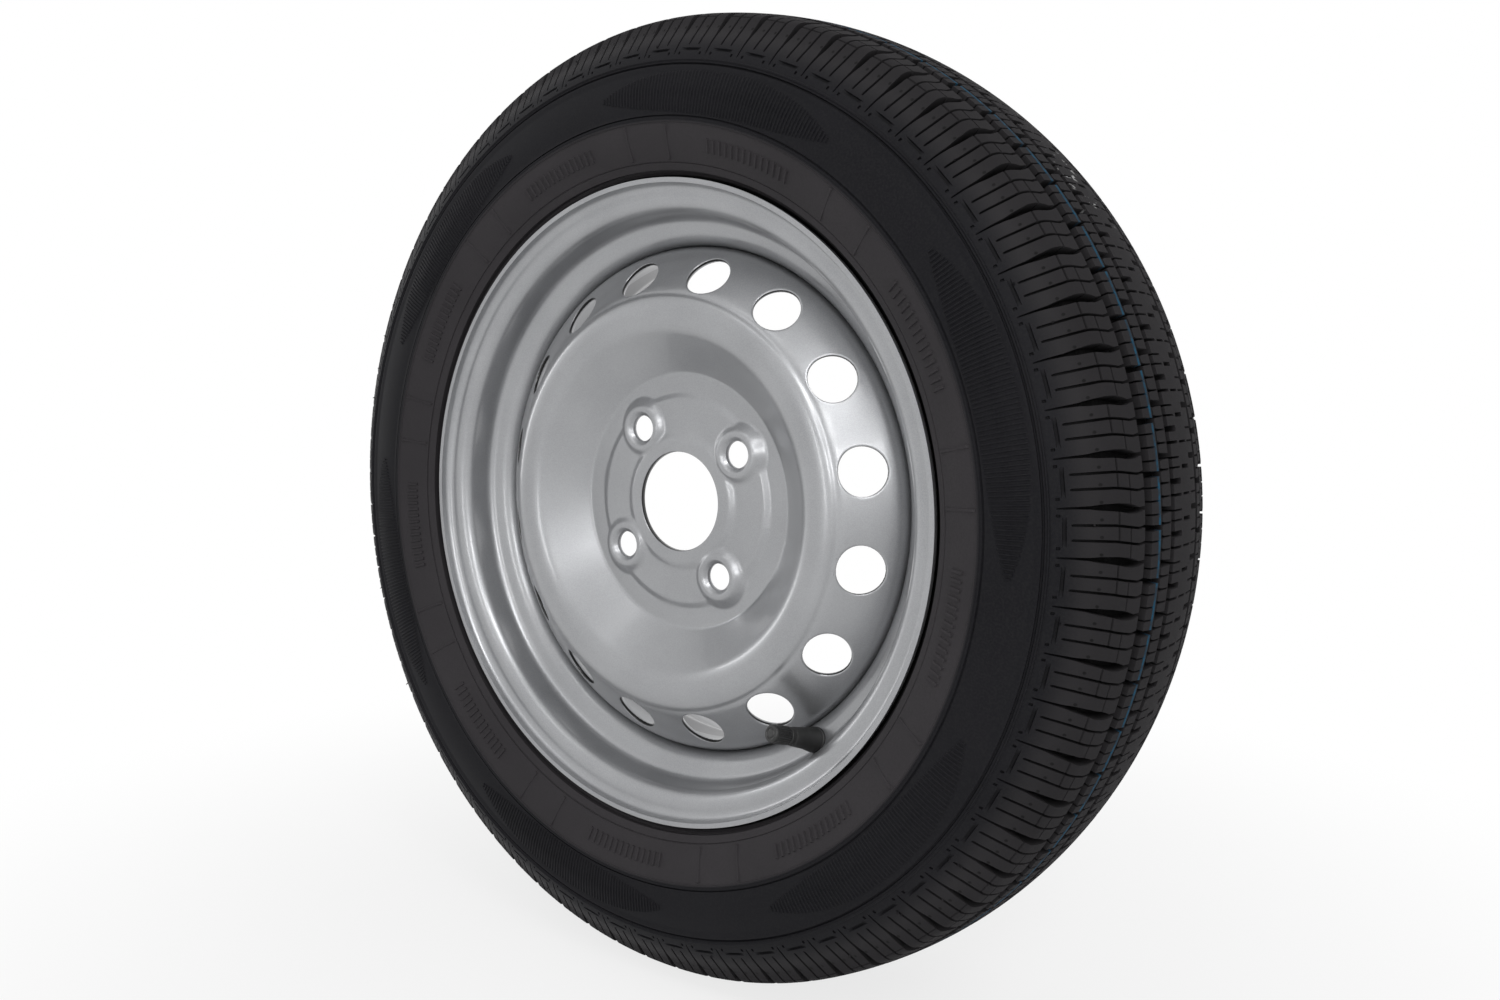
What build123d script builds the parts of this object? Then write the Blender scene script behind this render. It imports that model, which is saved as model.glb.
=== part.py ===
from build123d import *
import os
from math import atan2, cos, radians, sin, tan

# A tubeless tyre on a pressed steel wheel with a snap-in valve, in millimetres.
# The wheel turns about Y, its outer face looks towards -Y and Z is up.
# The origin lies on the axis in the middle plane of the tyre.

# Tyre
tyre_diameter = 547.0
section_width = 157.0
widest_radius = 216.0        # radius at which the sidewall is widest
shoulder_radius = 253.0      # radius at which the sidewall turns into the buttress
shoulder_width = 132.0       # width of the casing there
tread_width = 117.0
crown_drop = 9.0             # fall of the tread from its middle to its edge
sidewall_thickness = 8.0
crown_thickness = 14.0       # belts and full tread
tread_depth = 7.5
outer_groove_offset = 41.0   # middle of the outer grooves from the middle plane
outer_groove_width = 5.8
inner_groove_offset = 18.1
inner_groove_width = 4.2
groove_draft = 0.8           # lean of each groove wall towards its floor
pitch_count = 72
first_slot_angle = 3.2
rear_slot_shift = 0.425      # of a pitch, between the front and the rear slots
slot_width = 3.0
slot_depth = 6.5             # below the tread edge
slot_land = 2.6              # rubber left between a slot and the outer groove
bead_width = 17.0
bead_gap = 0.25              # between the tyre and the rim

# Rim
seat_diameter = 329.4
rim_width = 114.3            # between the flanges
flange_height = 14.1
flange_bend = 7.5
lip_length = 1.9
rim_sheet = 2.6
seat_angle = 5.0
seat_length = 20.0
well_depth = 16.0
front_slope = 68.0           # of the well's front wall, against the axis
rear_slope_length = 27.7

# Wheel disc
hub_face_offset = 30.0       # hub face, ahead of the middle plane
disc_sheet = 3.4
bore_diameter = 57.1
collar_rise = 2.3            # of the ring round the bore, above the plateau
collar_diameter = 68.0       # of its flat top
collar_base = 82.0           # where its slope meets the plateau
bolt_circle = 100.0
bolt_count = 4
bolt_hole = 15.2
bolt_seat = 20.0             # countersink at the front of each bolt hole
bolt_seat_angle = 60.0
first_bolt_angle = 34.2
boss_height = 6.0            # of the sheet pressed out round each bolt seat, above the hub face
boss_diameter = 25.0         # of its flat front
boss_foot = 37.4             # where its slope meets the hub pad
seat_ring = 21.0             # thick ring behind each bolt seat
seat_ring_depth = 1.8
plateau_height = 2.2         # of the sheet between the bolts, above the hub face
plateau_wall = 6.5           # run of its slope down to the hub face
plateau_diameter = 126.6     # at the foot of that slope
pad_diameter = 150.0
pad_bend = 8.0
crown_diameter = 214.0       # where the disc stands furthest out
crown_bend = 14.0
cone_angle = 40.0            # fall of the vent zone
disc_edge_offset = 28.9      # where the cone meets the flange band, ahead of the middle plane
edge_bend = 8.5
disc_flange = 18.0           # band that stands in the rim's well
disc_fit = 0.1               # between the disc and the rim
vent_count = 16
vent_diameter = 25.6
vent_circle = 256.6          # on the disc's back skin
first_vent_angle = 10.2
weld_count = 4
weld_arc = 24.0              # degrees that each weld bead spans
weld_leg = 3.0
weld_gap = 0.05

# Valve, with heights along its own axis above the rim's outer skin
valve_angle = -52.3
valve_hole = 11.5
valve_fit = 0.15
grip_gap = 0.3               # between the rubber and each side of the sheet
bulb_diameter = 15.0
bulb_height = 7.5
barb_diameter = 13.8
barb_height = 19.0
rubber_diameter = 9.8
rubber_height = 22.0
bond_gap = 0.05              # between pieces that are bonded or pressed together
stem_height = 31.0
stem_diameter = 7.7
stem_shank = 6.4             # stem inside the rubber
stem_bore = 2.6
core_chamber = 4.2
core_seat_height = 15.0
core_seat_taper = 1.5
core_thread = 5.2

# Valve core
plug_height = 4.0
plug_inset = 0.7             # below the end of the stem
barrel_diameter = 3.4
barrel_bore = 2.2
barrel_height = 15.0
barrel_ledge = 0.8
gasket_height = 2.0
gasket_diameter = 4.9
pin_diameter = 0.9
pin_inset = 0.3              # below the end of the stem
pin_collar = 1.8
pin_collar_height = 0.6
pin_collar_drop = 2.5        # below the foot of the plug
pin_tail = 3.6               # below the barrel
pin_fit = 0.15
cup_diameter = 3.2
cup_height = 1.6
washer_height = 0.5
spring_wire = 0.22
spring_turns = 5
spring_fit = 0.1

# Valve cap
cap_diameter = 9.8
cap_top_diameter = 8.8
cap_height = 11.6
cap_fit = 0.3
cap_roof = 1.6
cap_seal_height = 1.0
cap_seal_gap = 0.25

# Rim sizes on the tyre's side
seat_radius = seat_diameter / 2
flange_radius = seat_radius + flange_height
flange_face = rim_width / 2
bend_start = flange_face + flange_bend
well_radius = seat_radius - well_depth
seat_end_radius = seat_radius - seat_length * tan(radians(seat_angle))
seat_end = flange_face - seat_length
well_front = (seat_end_radius - well_radius) / tan(radians(front_slope)) - seat_end
well_back = seat_end - rear_slope_length

# Disc sizes on the hub's side
disc_radius = well_radius - rim_sheet - disc_fit
edge_radius = disc_radius - disc_sheet
cone_slope = tan(radians(cone_angle))
crown_offset = disc_edge_offset + (edge_radius - crown_diameter / 2) * cone_slope
flange_end = disc_flange - disc_edge_offset

# Valve core heights
plug_foot = stem_height - plug_inset - plug_height
barrel_foot = plug_foot - bond_gap - barrel_height
collar_foot = plug_foot - pin_collar_drop - pin_collar_height
spring_foot = barrel_foot + barrel_ledge
washer_foot = barrel_foot - bond_gap - washer_height
cup_foot = washer_foot - bond_gap - cup_height
gasket_foot = core_seat_height + core_seat_taper + bond_gap
seal_foot = stem_height + cap_seal_gap
cap_foot = seal_foot + cap_seal_height + cap_roof - cap_height

# Where two walls that stand parallel turn by 45 degrees, their corners lie this share of the gap apart
eighth_turn = tan(radians(45 / 2))
outwards = (Align.CENTER, Align.CENTER, Align.MIN)


def flipped(points):
    """The points mirrored across the middle plane."""
    return [(radius, -along) for radius, along in points]


def wheel_ring(outline):
    """An outline of radius and place along the axis, turned about the wheel's axis."""
    return revolve(make_face(outline), Axis.Y)


def around_wheel(angle):
    """Turn from the X axis to an angle on the wheel's face, towards Z."""
    return Rot(0, -angle, 0)


def crown_radius(offset):
    """Radius of the tread at a distance from the middle plane."""
    return tyre_diameter / 2 - crown_drop * (2 * offset / tread_width) ** 2


def groove(offset, width):
    """One groove of the tread's outline, from its outer edge to its inner edge."""
    outer = offset + width / 2
    inner = offset - width / 2
    floor = crown_radius(offset) - tread_depth
    return [
        (crown_radius(outer), outer),
        (floor, outer - groove_draft),
        (floor, inner + groove_draft),
        (crown_radius(inner), inner),
    ]


def make_casing():
    """Hollow casing with beads, curved sidewalls and four grooves round the tread."""
    half_tread = tread_width / 2
    heel = flange_face - bead_gap
    lap_radius = flange_radius + bead_gap
    lap_corner = (flange_bend + bead_gap) * eighth_turn
    bead = [
        (seat_radius + bead_gap, heel),
        (flange_radius - flange_bend + lap_corner, heel),
        (lap_radius, bend_start - lap_corner),
        (lap_radius, bend_start),
    ]
    tread = [
        (shoulder_radius, shoulder_width / 2),
        (crown_radius(half_tread), half_tread),
        *groove(outer_groove_offset, outer_groove_width),
        *groove(inner_groove_offset, inner_groove_width),
    ]
    liner = [
        (seat_end_radius + bead_gap, heel - bead_width),
        (widest_radius, section_width / 2 - sidewall_thickness),
        (crown_radius(half_tread) - crown_thickness, half_tread - crown_thickness),
    ]
    widest = (widest_radius, section_width / 2)
    inside = [*flipped(reversed(bead[:-1])), *flipped(liner), *reversed(liner), *bead]
    return wheel_ring([
        Polyline(*tread, (tyre_diameter / 2, 0), *flipped(reversed(tread))),
        ThreePointArc(*flipped([tread[0], widest, bead[-1]])),
        Polyline(*flipped(bead[-1:]), *inside),
        ThreePointArc(bead[-1], widest, tread[0]),
    ])


def make_tyre():
    """The casing with a wedge-shaped slot across each shoulder at every pitch."""
    floor = crown_radius(tread_width / 2) - slot_depth
    slot_start = outer_groove_offset + outer_groove_width / 2 + slot_land
    slot_length = section_width / 2 - slot_start
    mouth = tyre_diameter / 2
    wedge = Polyline((floor, 0), (mouth, slot_width / 2), (mouth, -slot_width / 2), close=True)
    start_plane = Plane(origin=(0, -slot_start, 0), x_dir=(1, 0, 0), z_dir=(0, -1, 0))
    front_slot = extrude(start_plane * make_face(wedge), slot_length)
    back_slot = mirror(front_slot, Plane.XZ)
    pitch = 360 / pitch_count
    first_rear = first_slot_angle + pitch * rear_slot_shift
    slots = [around_wheel(first_slot_angle + pitch * step) * front_slot for step in range(pitch_count)]
    slots += [around_wheel(first_rear + pitch * step) * back_slot for step in range(pitch_count)]
    return make_casing() - slots


def valve_place():
    """Frame of the valve: on the outer skin of the well's front wall, along its normal."""
    slope = radians(front_slope)
    normal = (-cos(slope), -sin(slope))
    middle = ((seat_end_radius + well_radius) / 2, (well_front - seat_end) / 2)
    skin = [place + rim_sheet * part for place, part in zip(middle, normal)]
    plane = Plane(origin=(*skin, 0), x_dir=(0, 0, 1), z_dir=(*normal, 0))
    return around_wheel(valve_angle) * plane.location


def make_rim():
    """One rolled sheet with two flanges, two bead seats and a well, drilled for the valve."""
    wall_top = flange_radius - flange_bend
    lip_end = bend_start + lip_length
    middle = Polyline(
        (wall_top, -flange_face),
        (seat_radius, -flange_face),
        (seat_end_radius, -seat_end),
        (well_radius, well_front),
        (well_radius, well_back),
        (seat_end_radius, seat_end),
        (seat_radius, flange_face),
        (wall_top, flange_face),
    )
    front_lip = Line((flange_radius, -lip_end), (flange_radius, -bend_start))
    front_bend = RadiusArc(front_lip @ 1, middle @ 0, -flange_bend)
    back_bend = RadiusArc(middle @ 1, (flange_radius, bend_start), -flange_bend)
    back_lip = Line(back_bend @ 1, (flange_radius, lip_end))
    skin = Wire([front_lip, front_bend, *middle.edges(), back_bend, back_lip])
    sheet = skin.offset_2d(rim_sheet, kind=Kind.INTERSECTION, side=Side.LEFT, closed=True)
    drill = valve_place() * Cylinder(valve_hole / 2, 4 * rim_sheet)
    return wheel_ring(sheet) - drill


def make_disc_sheet():
    """The pressed sheet: raised collar and plateau, hub pad, crown, cone and flange band."""
    plateau_offset = hub_face_offset + plateau_height
    collar_offset = plateau_offset + collar_rise
    plateau_foot = plateau_diameter / 2
    skin = FilletPolyline(
        (bore_diameter / 2, -collar_offset),
        (collar_diameter / 2, -collar_offset),
        (collar_base / 2, -plateau_offset),
        (plateau_foot - plateau_wall, -plateau_offset),
        (plateau_foot, -hub_face_offset),
        (pad_diameter / 2, -hub_face_offset),
        (crown_diameter / 2, -crown_offset),
        (edge_radius, -disc_edge_offset),
        (edge_radius, flange_end),
        radius=[0, 0, 0, 0, pad_bend, crown_bend, edge_bend],
    )
    sheet = skin.wire().offset_2d(disc_sheet, kind=Kind.INTERSECTION, side=Side.RIGHT, closed=True)
    return wheel_ring(sheet)


def bolt_plane(height):
    """Plane across the first bolt at a height above the hub face, looking out of the wheel."""
    centre = (bolt_circle / 2, -hub_face_offset - height, 0)
    return Plane(origin=centre, x_dir=(1, 0, 0), z_dir=(0, -1, 0))


def boss_form(height, inset):
    """Frustum about the first bolt from a height above the hub face, smaller than the boss by an inset."""
    foot_radius = boss_foot / 2 - inset
    top_radius = boss_diameter / 2 - inset
    return bolt_plane(height) * Cone(foot_radius, top_radius, boss_height, align=outwards)


def make_vent():
    """Cutter of the first vent hole, square to the cone."""
    slope = radians(cone_angle)
    radius = vent_circle / 2
    offset = disc_edge_offset + (edge_radius - radius) * cone_slope
    plane = Plane(origin=(radius, -offset, 0), x_dir=(0, 0, 1), z_dir=(sin(slope), -cos(slope), 0))
    return plane * Cylinder(vent_diameter / 2, 4 * disc_sheet)


def make_disc():
    """The pressed sheet with hollow bosses and coned seats for the bolts, and a ring of vent holes."""
    front_height = boss_height + disc_sheet
    slope = atan2(boss_height, (boss_foot - boss_diameter) / 2)
    seat_depth = (bolt_seat - bolt_hole) / 2 / tan(radians(bolt_seat_angle / 2))
    boss = boss_form(disc_sheet, 0)
    hollow = boss_form(0, disc_sheet * tan(slope / 2))
    ring_plane = bolt_plane(boss_height - seat_ring_depth)
    ring = ring_plane * Cylinder(seat_ring / 2, seat_ring_depth + disc_sheet, align=outwards)
    hole = bolt_plane(0) * Cylinder(bolt_hole / 2, front_height, align=outwards)
    seat_plane = bolt_plane(front_height - seat_depth)
    seat = seat_plane * Cone(bolt_hole / 2, bolt_seat / 2, seat_depth, align=outwards)
    bolt_turns = [around_wheel(first_bolt_angle + 360 / bolt_count * step) for step in range(bolt_count)]
    vent_turns = [around_wheel(first_vent_angle + 360 / vent_count * step) for step in range(vent_count)]
    disc = make_disc_sheet() + [turn * boss for turn in bolt_turns]
    disc -= [turn * hollow for turn in bolt_turns]
    disc += [turn * ring for turn in bolt_turns]
    disc -= [turn * cut for turn in bolt_turns for cut in (hole, seat)]
    vent = make_vent()
    return disc - [turn * vent for turn in vent_turns]


def make_welds():
    """Fillet beads in the corner between the end of the disc's band and the rim."""
    foot = flange_end + weld_gap
    corner = Polyline(
        (disc_radius, foot),
        (disc_radius, foot + weld_leg),
        (disc_radius - weld_leg, foot),
        close=True,
    )
    bead = revolve(make_face(corner), Axis.Y, weld_arc)
    return [around_wheel(360 / weld_count * step) * bead for step in range(weld_count)]


def turned(*points):
    """A closed outline of radius and height, turned about the valve's axis and put in its place."""
    face = Plane.XZ * make_face(Polyline(*points, close=True))
    return valve_place() * revolve(face, Axis.Z)


def tube(outer, inner, foot, height):
    """A plain sleeve of the valve, from two diameters."""
    top = foot + height
    return turned((inner / 2, foot), (outer / 2, foot), (outer / 2, top), (inner / 2, top))


def make_valve_body():
    """Rubber moulding that snaps into the rim, with a bulb behind it and a tapered barb in front."""
    inner = stem_shank / 2 + bond_gap
    neck = valve_hole / 2 - valve_fit
    back = -rim_sheet - grip_gap
    foot = back - bulb_height
    return turned(
        (inner, foot),
        (bulb_diameter / 2 - bulb_height / 4, foot),
        (bulb_diameter / 2, back - bulb_height / 4),
        (bulb_diameter / 2, back),
        (neck, back),
        (neck, grip_gap),
        (barb_diameter / 2, grip_gap),
        (barb_diameter / 2, 2 * grip_gap),
        (rubber_diameter / 2, barb_height),
        (rubber_diameter / 2, rubber_height),
        (inner, rubber_height),
    )


def make_valve_stem():
    """Brass stem with a bored chamber and a tapered seat for the core."""
    foot = -rim_sheet - grip_gap - bulb_height
    collar = rubber_height + bond_gap
    chamber_foot = barrel_foot - pin_tail - core_seat_taper
    return turned(
        (stem_bore / 2, foot),
        (stem_shank / 2, foot),
        (stem_shank / 2, collar),
        (stem_diameter / 2, collar),
        (stem_diameter / 2, stem_height),
        (core_thread / 2, stem_height),
        (core_thread / 2, core_seat_height + core_seat_taper),
        (core_chamber / 2, core_seat_height),
        (core_chamber / 2, chamber_foot),
        (stem_bore / 2, chamber_foot),
    )


def make_core_barrel():
    """Sleeve of the core, closed to a small hole at its foot."""
    hole = pin_diameter / 2 + pin_fit
    top = plug_foot - bond_gap
    return turned(
        (hole, barrel_foot),
        (barrel_diameter / 2, barrel_foot),
        (barrel_diameter / 2, top),
        (barrel_bore / 2, top),
        (barrel_bore / 2, spring_foot),
        (hole, spring_foot),
    )


def make_core_pin():
    """Pin with the collar that the spring lifts."""
    radius = pin_diameter / 2
    collar_top = collar_foot + pin_collar_height
    return turned(
        (0, barrel_foot - pin_tail),
        (radius, barrel_foot - pin_tail),
        (radius, collar_foot),
        (pin_collar / 2, collar_foot),
        (pin_collar / 2, collar_top),
        (radius, collar_top),
        (radius, stem_height - pin_inset),
        (0, stem_height - pin_inset),
    )


def make_core_spring():
    """Coil of square wire between the foot of the barrel and the pin's collar."""
    low = spring_foot + spring_fit + spring_wire / 2
    height = collar_foot - spring_fit - spring_wire / 2 - low
    coil_radius = (pin_diameter + barrel_bore) / 4
    coil = Helix(pitch=height / spring_turns, height=height, radius=coil_radius)
    section = Plane(origin=coil @ 0, z_dir=coil % 0) * Rectangle(spring_wire, spring_wire)
    return valve_place() * Pos(0, 0, low) * sweep(section, path=coil, is_frenet=True)


def make_cap():
    """Screw cap, closed at its top."""
    inner = stem_diameter / 2 + cap_fit
    top = cap_foot + cap_height
    roof = top - cap_roof
    return turned(
        (inner, cap_foot),
        (cap_diameter / 2, cap_foot),
        (cap_diameter / 2, roof),
        (cap_top_diameter / 2, top),
        (0, top),
        (0, roof),
        (inner, roof),
    )


pin_hole = pin_diameter + 2 * bond_gap

parts = {
    "tyre": make_tyre(),
    "rim": make_rim(),
    "wheel_disc": make_disc(),
    "disc_welds": Compound(children=make_welds()),
    "valve_body": make_valve_body(),
    "valve_stem": make_valve_stem(),
    "core_plug": tube(core_thread - 2 * bond_gap, pin_diameter + 4 * pin_fit, plug_foot, plug_height),
    "core_barrel": make_core_barrel(),
    "core_gasket": tube(gasket_diameter, barrel_diameter + 2 * bond_gap, gasket_foot, gasket_height),
    "core_pin": make_core_pin(),
    "core_cup": tube(cup_diameter, pin_hole, cup_foot, cup_height),
    "core_washer": tube(cup_diameter, pin_hole, washer_foot, washer_height),
    "core_spring": make_core_spring(),
    "valve_cap": make_cap(),
    "cap_seal": tube(stem_diameter, core_thread, seal_foot, cap_seal_height),
}

os.makedirs("parts", exist_ok=True)
for name, part in parts.items():
    export_step(part, f"parts/{name}.step")
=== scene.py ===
"""A wheel and tyre assembly in a plain studio.

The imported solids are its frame, and what shows is dressed over them.
"""

import logging
from dataclasses import dataclass
from enum import Enum
from typing import Any, Sequence

import bmesh
import bpy
import numpy as np
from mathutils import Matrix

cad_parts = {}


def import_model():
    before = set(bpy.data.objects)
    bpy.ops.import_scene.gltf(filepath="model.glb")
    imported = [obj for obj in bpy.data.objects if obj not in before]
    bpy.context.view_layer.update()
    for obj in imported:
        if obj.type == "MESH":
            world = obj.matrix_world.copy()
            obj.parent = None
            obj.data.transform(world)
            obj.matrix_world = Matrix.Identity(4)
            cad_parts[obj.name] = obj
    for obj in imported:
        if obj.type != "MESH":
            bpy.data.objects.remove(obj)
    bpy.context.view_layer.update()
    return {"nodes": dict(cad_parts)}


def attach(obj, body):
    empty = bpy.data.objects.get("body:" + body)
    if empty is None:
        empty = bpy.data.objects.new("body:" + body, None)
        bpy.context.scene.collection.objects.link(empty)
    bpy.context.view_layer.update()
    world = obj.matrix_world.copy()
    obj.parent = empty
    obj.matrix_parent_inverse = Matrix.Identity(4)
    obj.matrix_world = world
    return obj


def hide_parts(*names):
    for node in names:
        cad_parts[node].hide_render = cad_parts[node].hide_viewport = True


Array = np.ndarray
Path2 = Sequence[tuple[float, ...]]
Colour = tuple[float, float, float, float]
Socket = bpy.types.NodeSocket

MM = 0.001
TURN = 2 * np.pi
log = logging.getLogger("wheel")


class Body(Enum):
    """Bodies of the frame that pieces ride on."""

    WHEEL = "wheel"
    PIN = "pin"
    SEAL = "seal"
    CAP = "cap"


class Side(Enum):
    """The two sides of the wheel, with the sign of the axis there."""

    FRONT = -1
    REAR = 1


# Surfaces


@dataclass
class Skin:
    """A surface: points in millimetres, four-cornered faces, and a share per point for named attributes."""

    points: Array
    faces: Array
    shares: dict[str, Array] | None = None

    @classmethod
    def grid(cls, points: Array, rows_meet: bool = False, columns_meet: bool = False) -> "Skin":
        """Faces between neighbouring rows and columns of a grid of points.

        Args:
            points: Grid of rows by columns by three.
            rows_meet: Whether the last row joins the first one.
            columns_meet: Whether the last column joins the first one.

        Returns:
            The surface over the grid.
        """
        rows, columns = points.shape[:2]
        index = np.arange(rows * columns).reshape(rows, columns)
        if rows_meet:
            index = np.vstack([index, index[:1]])
        if columns_meet:
            index = np.hstack([index, index[:, :1]])
        corners = (index[:-1, :-1], index[:-1, 1:], index[1:, 1:], index[1:, :-1])
        return cls(points.reshape(-1, 3), np.stack(corners, axis=-1).reshape(-1, 4))

    @classmethod
    def rods(cls, rings: Array) -> "Skin":
        """Many closed rods at once, each a row of four-cornered rings with a face on both ends.

        Args:
            rings: Array of rods by rings by four by three.

        Returns:
            All the rods as one surface.
        """
        count, rows = rings.shape[:2]
        one = cls.grid(rings[0], columns_meet=True).faces
        ends = np.array([[3, 2, 1, 0], [0, 1, 2, 3]])
        ends[1] += 4 * (rows - 1)
        faces = np.vstack([one, ends])[None] + 4 * rows * np.arange(count)[:, None, None]
        return cls(rings.reshape(-1, 3), faces.reshape(-1, 4))

    @classmethod
    def joined(cls, skins: Sequence["Skin"]) -> "Skin":
        """Several surfaces as one, with points that lie on each other merged.

        Args:
            skins: Surfaces whose borders meet point on point.

        Returns:
            The merged surface.
        """
        starts = np.cumsum([0] + [len(skin.points) for skin in skins[:-1]])
        points = np.vstack([skin.points for skin in skins])
        faces = np.vstack([skin.faces + start for skin, start in zip(skins, starts)])
        keys = np.round(points / 0.002).astype(np.int64)
        _, first, merged = np.unique(keys, axis=0, return_index=True, return_inverse=True)
        return cls(points[first], merged.reshape(-1)[faces])

    def loops(self) -> list[list[int]]:
        """Corner lists of the faces, where a side that has shrunk to a point leaves a triangle.

        Returns:
            Lists of four or three corners.
        """
        a, b, c, d = self.faces.T
        shrunk = (a == b) | (b == c) | (c == d) | (d == a)
        second = np.where(a == b, c, b)
        third = np.where((a == b) | (b == c), d, c)
        triangles = np.stack([a, second, third], axis=-1)[shrunk]
        return self.faces[~shrunk].tolist() + triangles.tolist()


def make_piece(name: str, skin: Skin, material: bpy.types.Material, body: Body = Body.WHEEL,
               replaces: Sequence[str] = (), crease: float = 38.0) -> bpy.types.Object:
    """Puts a surface into a mesh object that rides on a body.

    Args:
        name: Name of the piece.
        skin: Its closed surface.
        material: Its finish.
        body: The body that carries it.
        replaces: Solids of the frame that it stands for.
        crease: Angle in degrees past which an edge stays sharp.

    Returns:
        The object.
    """
    mesh = bpy.data.meshes.new(name)
    mesh.from_pydata(skin.points * MM, [], skin.loops())
    for key, values in (skin.shares or {}).items():
        mesh.attributes.new(key, "FLOAT", "POINT").data.foreach_set("value", values.astype(np.float32))
    work = bmesh.new()
    work.from_mesh(mesh)
    bmesh.ops.recalc_face_normals(work, faces=work.faces)
    work.to_mesh(mesh)
    work.free()
    mesh.polygons.foreach_set("use_smooth", np.ones(len(mesh.polygons), bool))
    mesh.set_sharp_from_angle(angle=np.radians(crease))
    mesh.materials.append(material)
    piece = bpy.data.objects.new(name, mesh)
    bpy.context.scene.collection.objects.link(piece)
    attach(piece, body.value)
    if replaces:
        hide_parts(*replaces)
    log.info("%s: %d faces", name, len(mesh.polygons))
    return piece


def dress(node: bpy.types.Object, finish: bpy.types.Material) -> None:
    """Gives a solid of the frame one finish."""
    node.data.materials.clear()
    node.data.materials.append(finish)


def wheel_points(radius: Array, along: Array, angle: Array) -> Array:
    """Points from radius, place along the axis and angle on the wheel's face: (r cos a, y, r sin a)."""
    return np.stack(np.broadcast_arrays(radius * np.cos(angle), along, radius * np.sin(angle)), axis=-1)


def filled(path: Array, step: float) -> Array:
    """Adds points to a path so that no run is longer than a step.

    Args:
        path: Points of the path.
        step: Longest run.

    Returns:
        The path with each long run divided evenly.
    """
    length = np.hypot(*np.diff(path, axis=0).T)
    counts = np.maximum(1, np.ceil(length / step - 1e-6)).astype(int)
    whole = np.concatenate([[0.0], np.cumsum(length)])
    shares = [index + np.arange(count) / count for index, count in enumerate(counts)] + [[len(length)]]
    places = np.interp(np.concatenate(shares), np.arange(len(whole)), whole)
    return np.stack([np.interp(places, whole, column) for column in path.T], axis=-1)


def rounded(corners: Path2, step: float = 1.0) -> Array:
    """A path of straight runs with round corners.

    A corner of radius r between runs that meet at the inner angle 2h gets the arc about the point r / sin h
    along their bisector, from r / tan h before the corner to the same distance after it.

    Args:
        corners: Points with an optional third number, the radius of the corner there.
        step: Spacing of points along the arcs.

    Returns:
        The path's points.
    """
    given = np.array([(*corner, 0.0)[:3] for corner in corners], float)
    runs = [given[:1, :2]]
    for before, here, after in zip(given, given[1:], given[2:]):
        back = (before - here)[:2] / np.hypot(*(before - here)[:2])
        ahead = (after - here)[:2] / np.hypot(*(after - here)[:2])
        half = np.arccos(np.clip(back @ ahead, -1, 1)) / 2
        radius = max(here[2], 1e-3)
        bisector = (back + ahead) / np.hypot(*(back + ahead))
        centre = here[:2] + bisector * radius / np.sin(half)
        start = here[:2] + back * radius / np.tan(half) - centre
        end = here[:2] + ahead * radius / np.tan(half) - centre
        turn = np.pi - 2 * half
        share = np.linspace(0, 1, max(2, int(np.ceil(turn * radius / step)) + 1))[:, None]
        runs.append(centre + (np.sin((1 - share) * turn) * start + np.sin(share * turn) * end) / np.sin(turn))
    runs.append(given[-1:, :2])
    path = np.vstack(runs)
    apart = np.hypot(*np.diff(path, axis=0).T) > 1e-4
    return path[np.concatenate([[True], apart])]


def left_normals(path: Array) -> Array:
    """Normals to the left of a path, each the mitred mean of its two runs.

    Args:
        path: Points of the path.

    Returns:
        One vector per point, of length one across each run.
    """
    run = np.diff(path, axis=0)
    run = run / np.hypot(*run.T)[:, None]
    side = np.stack([-run[:, 1], run[:, 0]], axis=-1)
    before, after = np.vstack([side[:1], side]), np.vstack([side, side[-1:]])
    return (before + after) / (1 + np.sum(before * after, axis=1))[:, None]


# Shader graphs


class Term:
    """A socket of a node tree that takes part in Python expressions."""

    def __init__(self, graph: "Graph", socket: Socket) -> None:
        """Keeps the socket and the graph that new nodes go into."""
        self.graph = graph
        self.socket = socket

    def __add__(self, other: "Term | float") -> "Term":
        """Sum."""
        return self.graph.math("ADD", self, other)

    def __sub__(self, other: "Term | float") -> "Term":
        """Difference."""
        return self.graph.math("SUBTRACT", self, other)

    def __rsub__(self, other: float) -> "Term":
        """Difference from a number."""
        return self.graph.math("SUBTRACT", other, self)

    def __mul__(self, other: "Term | float") -> "Term":
        """Product."""
        return self.graph.math("MULTIPLY", self, other)

    __radd__ = __add__
    __rmul__ = __mul__

    def rise(self, low: float, high: float) -> "Term":
        """Smooth step from 0 at low to 1 at high."""
        inputs = {"Value": self, "From Min": low, "From Max": high}
        return self.graph.term("ShaderNodeMapRange", {"interpolation_type": "SMOOTHSTEP"}, inputs)

    def between(self, low: float, high: float, soft: float) -> "Term":
        """One inside a span, falling to 0 over a soft edge on both of its sides."""
        return self.rise(low - soft, low) * (1 - self.rise(high, high + soft))


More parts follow.
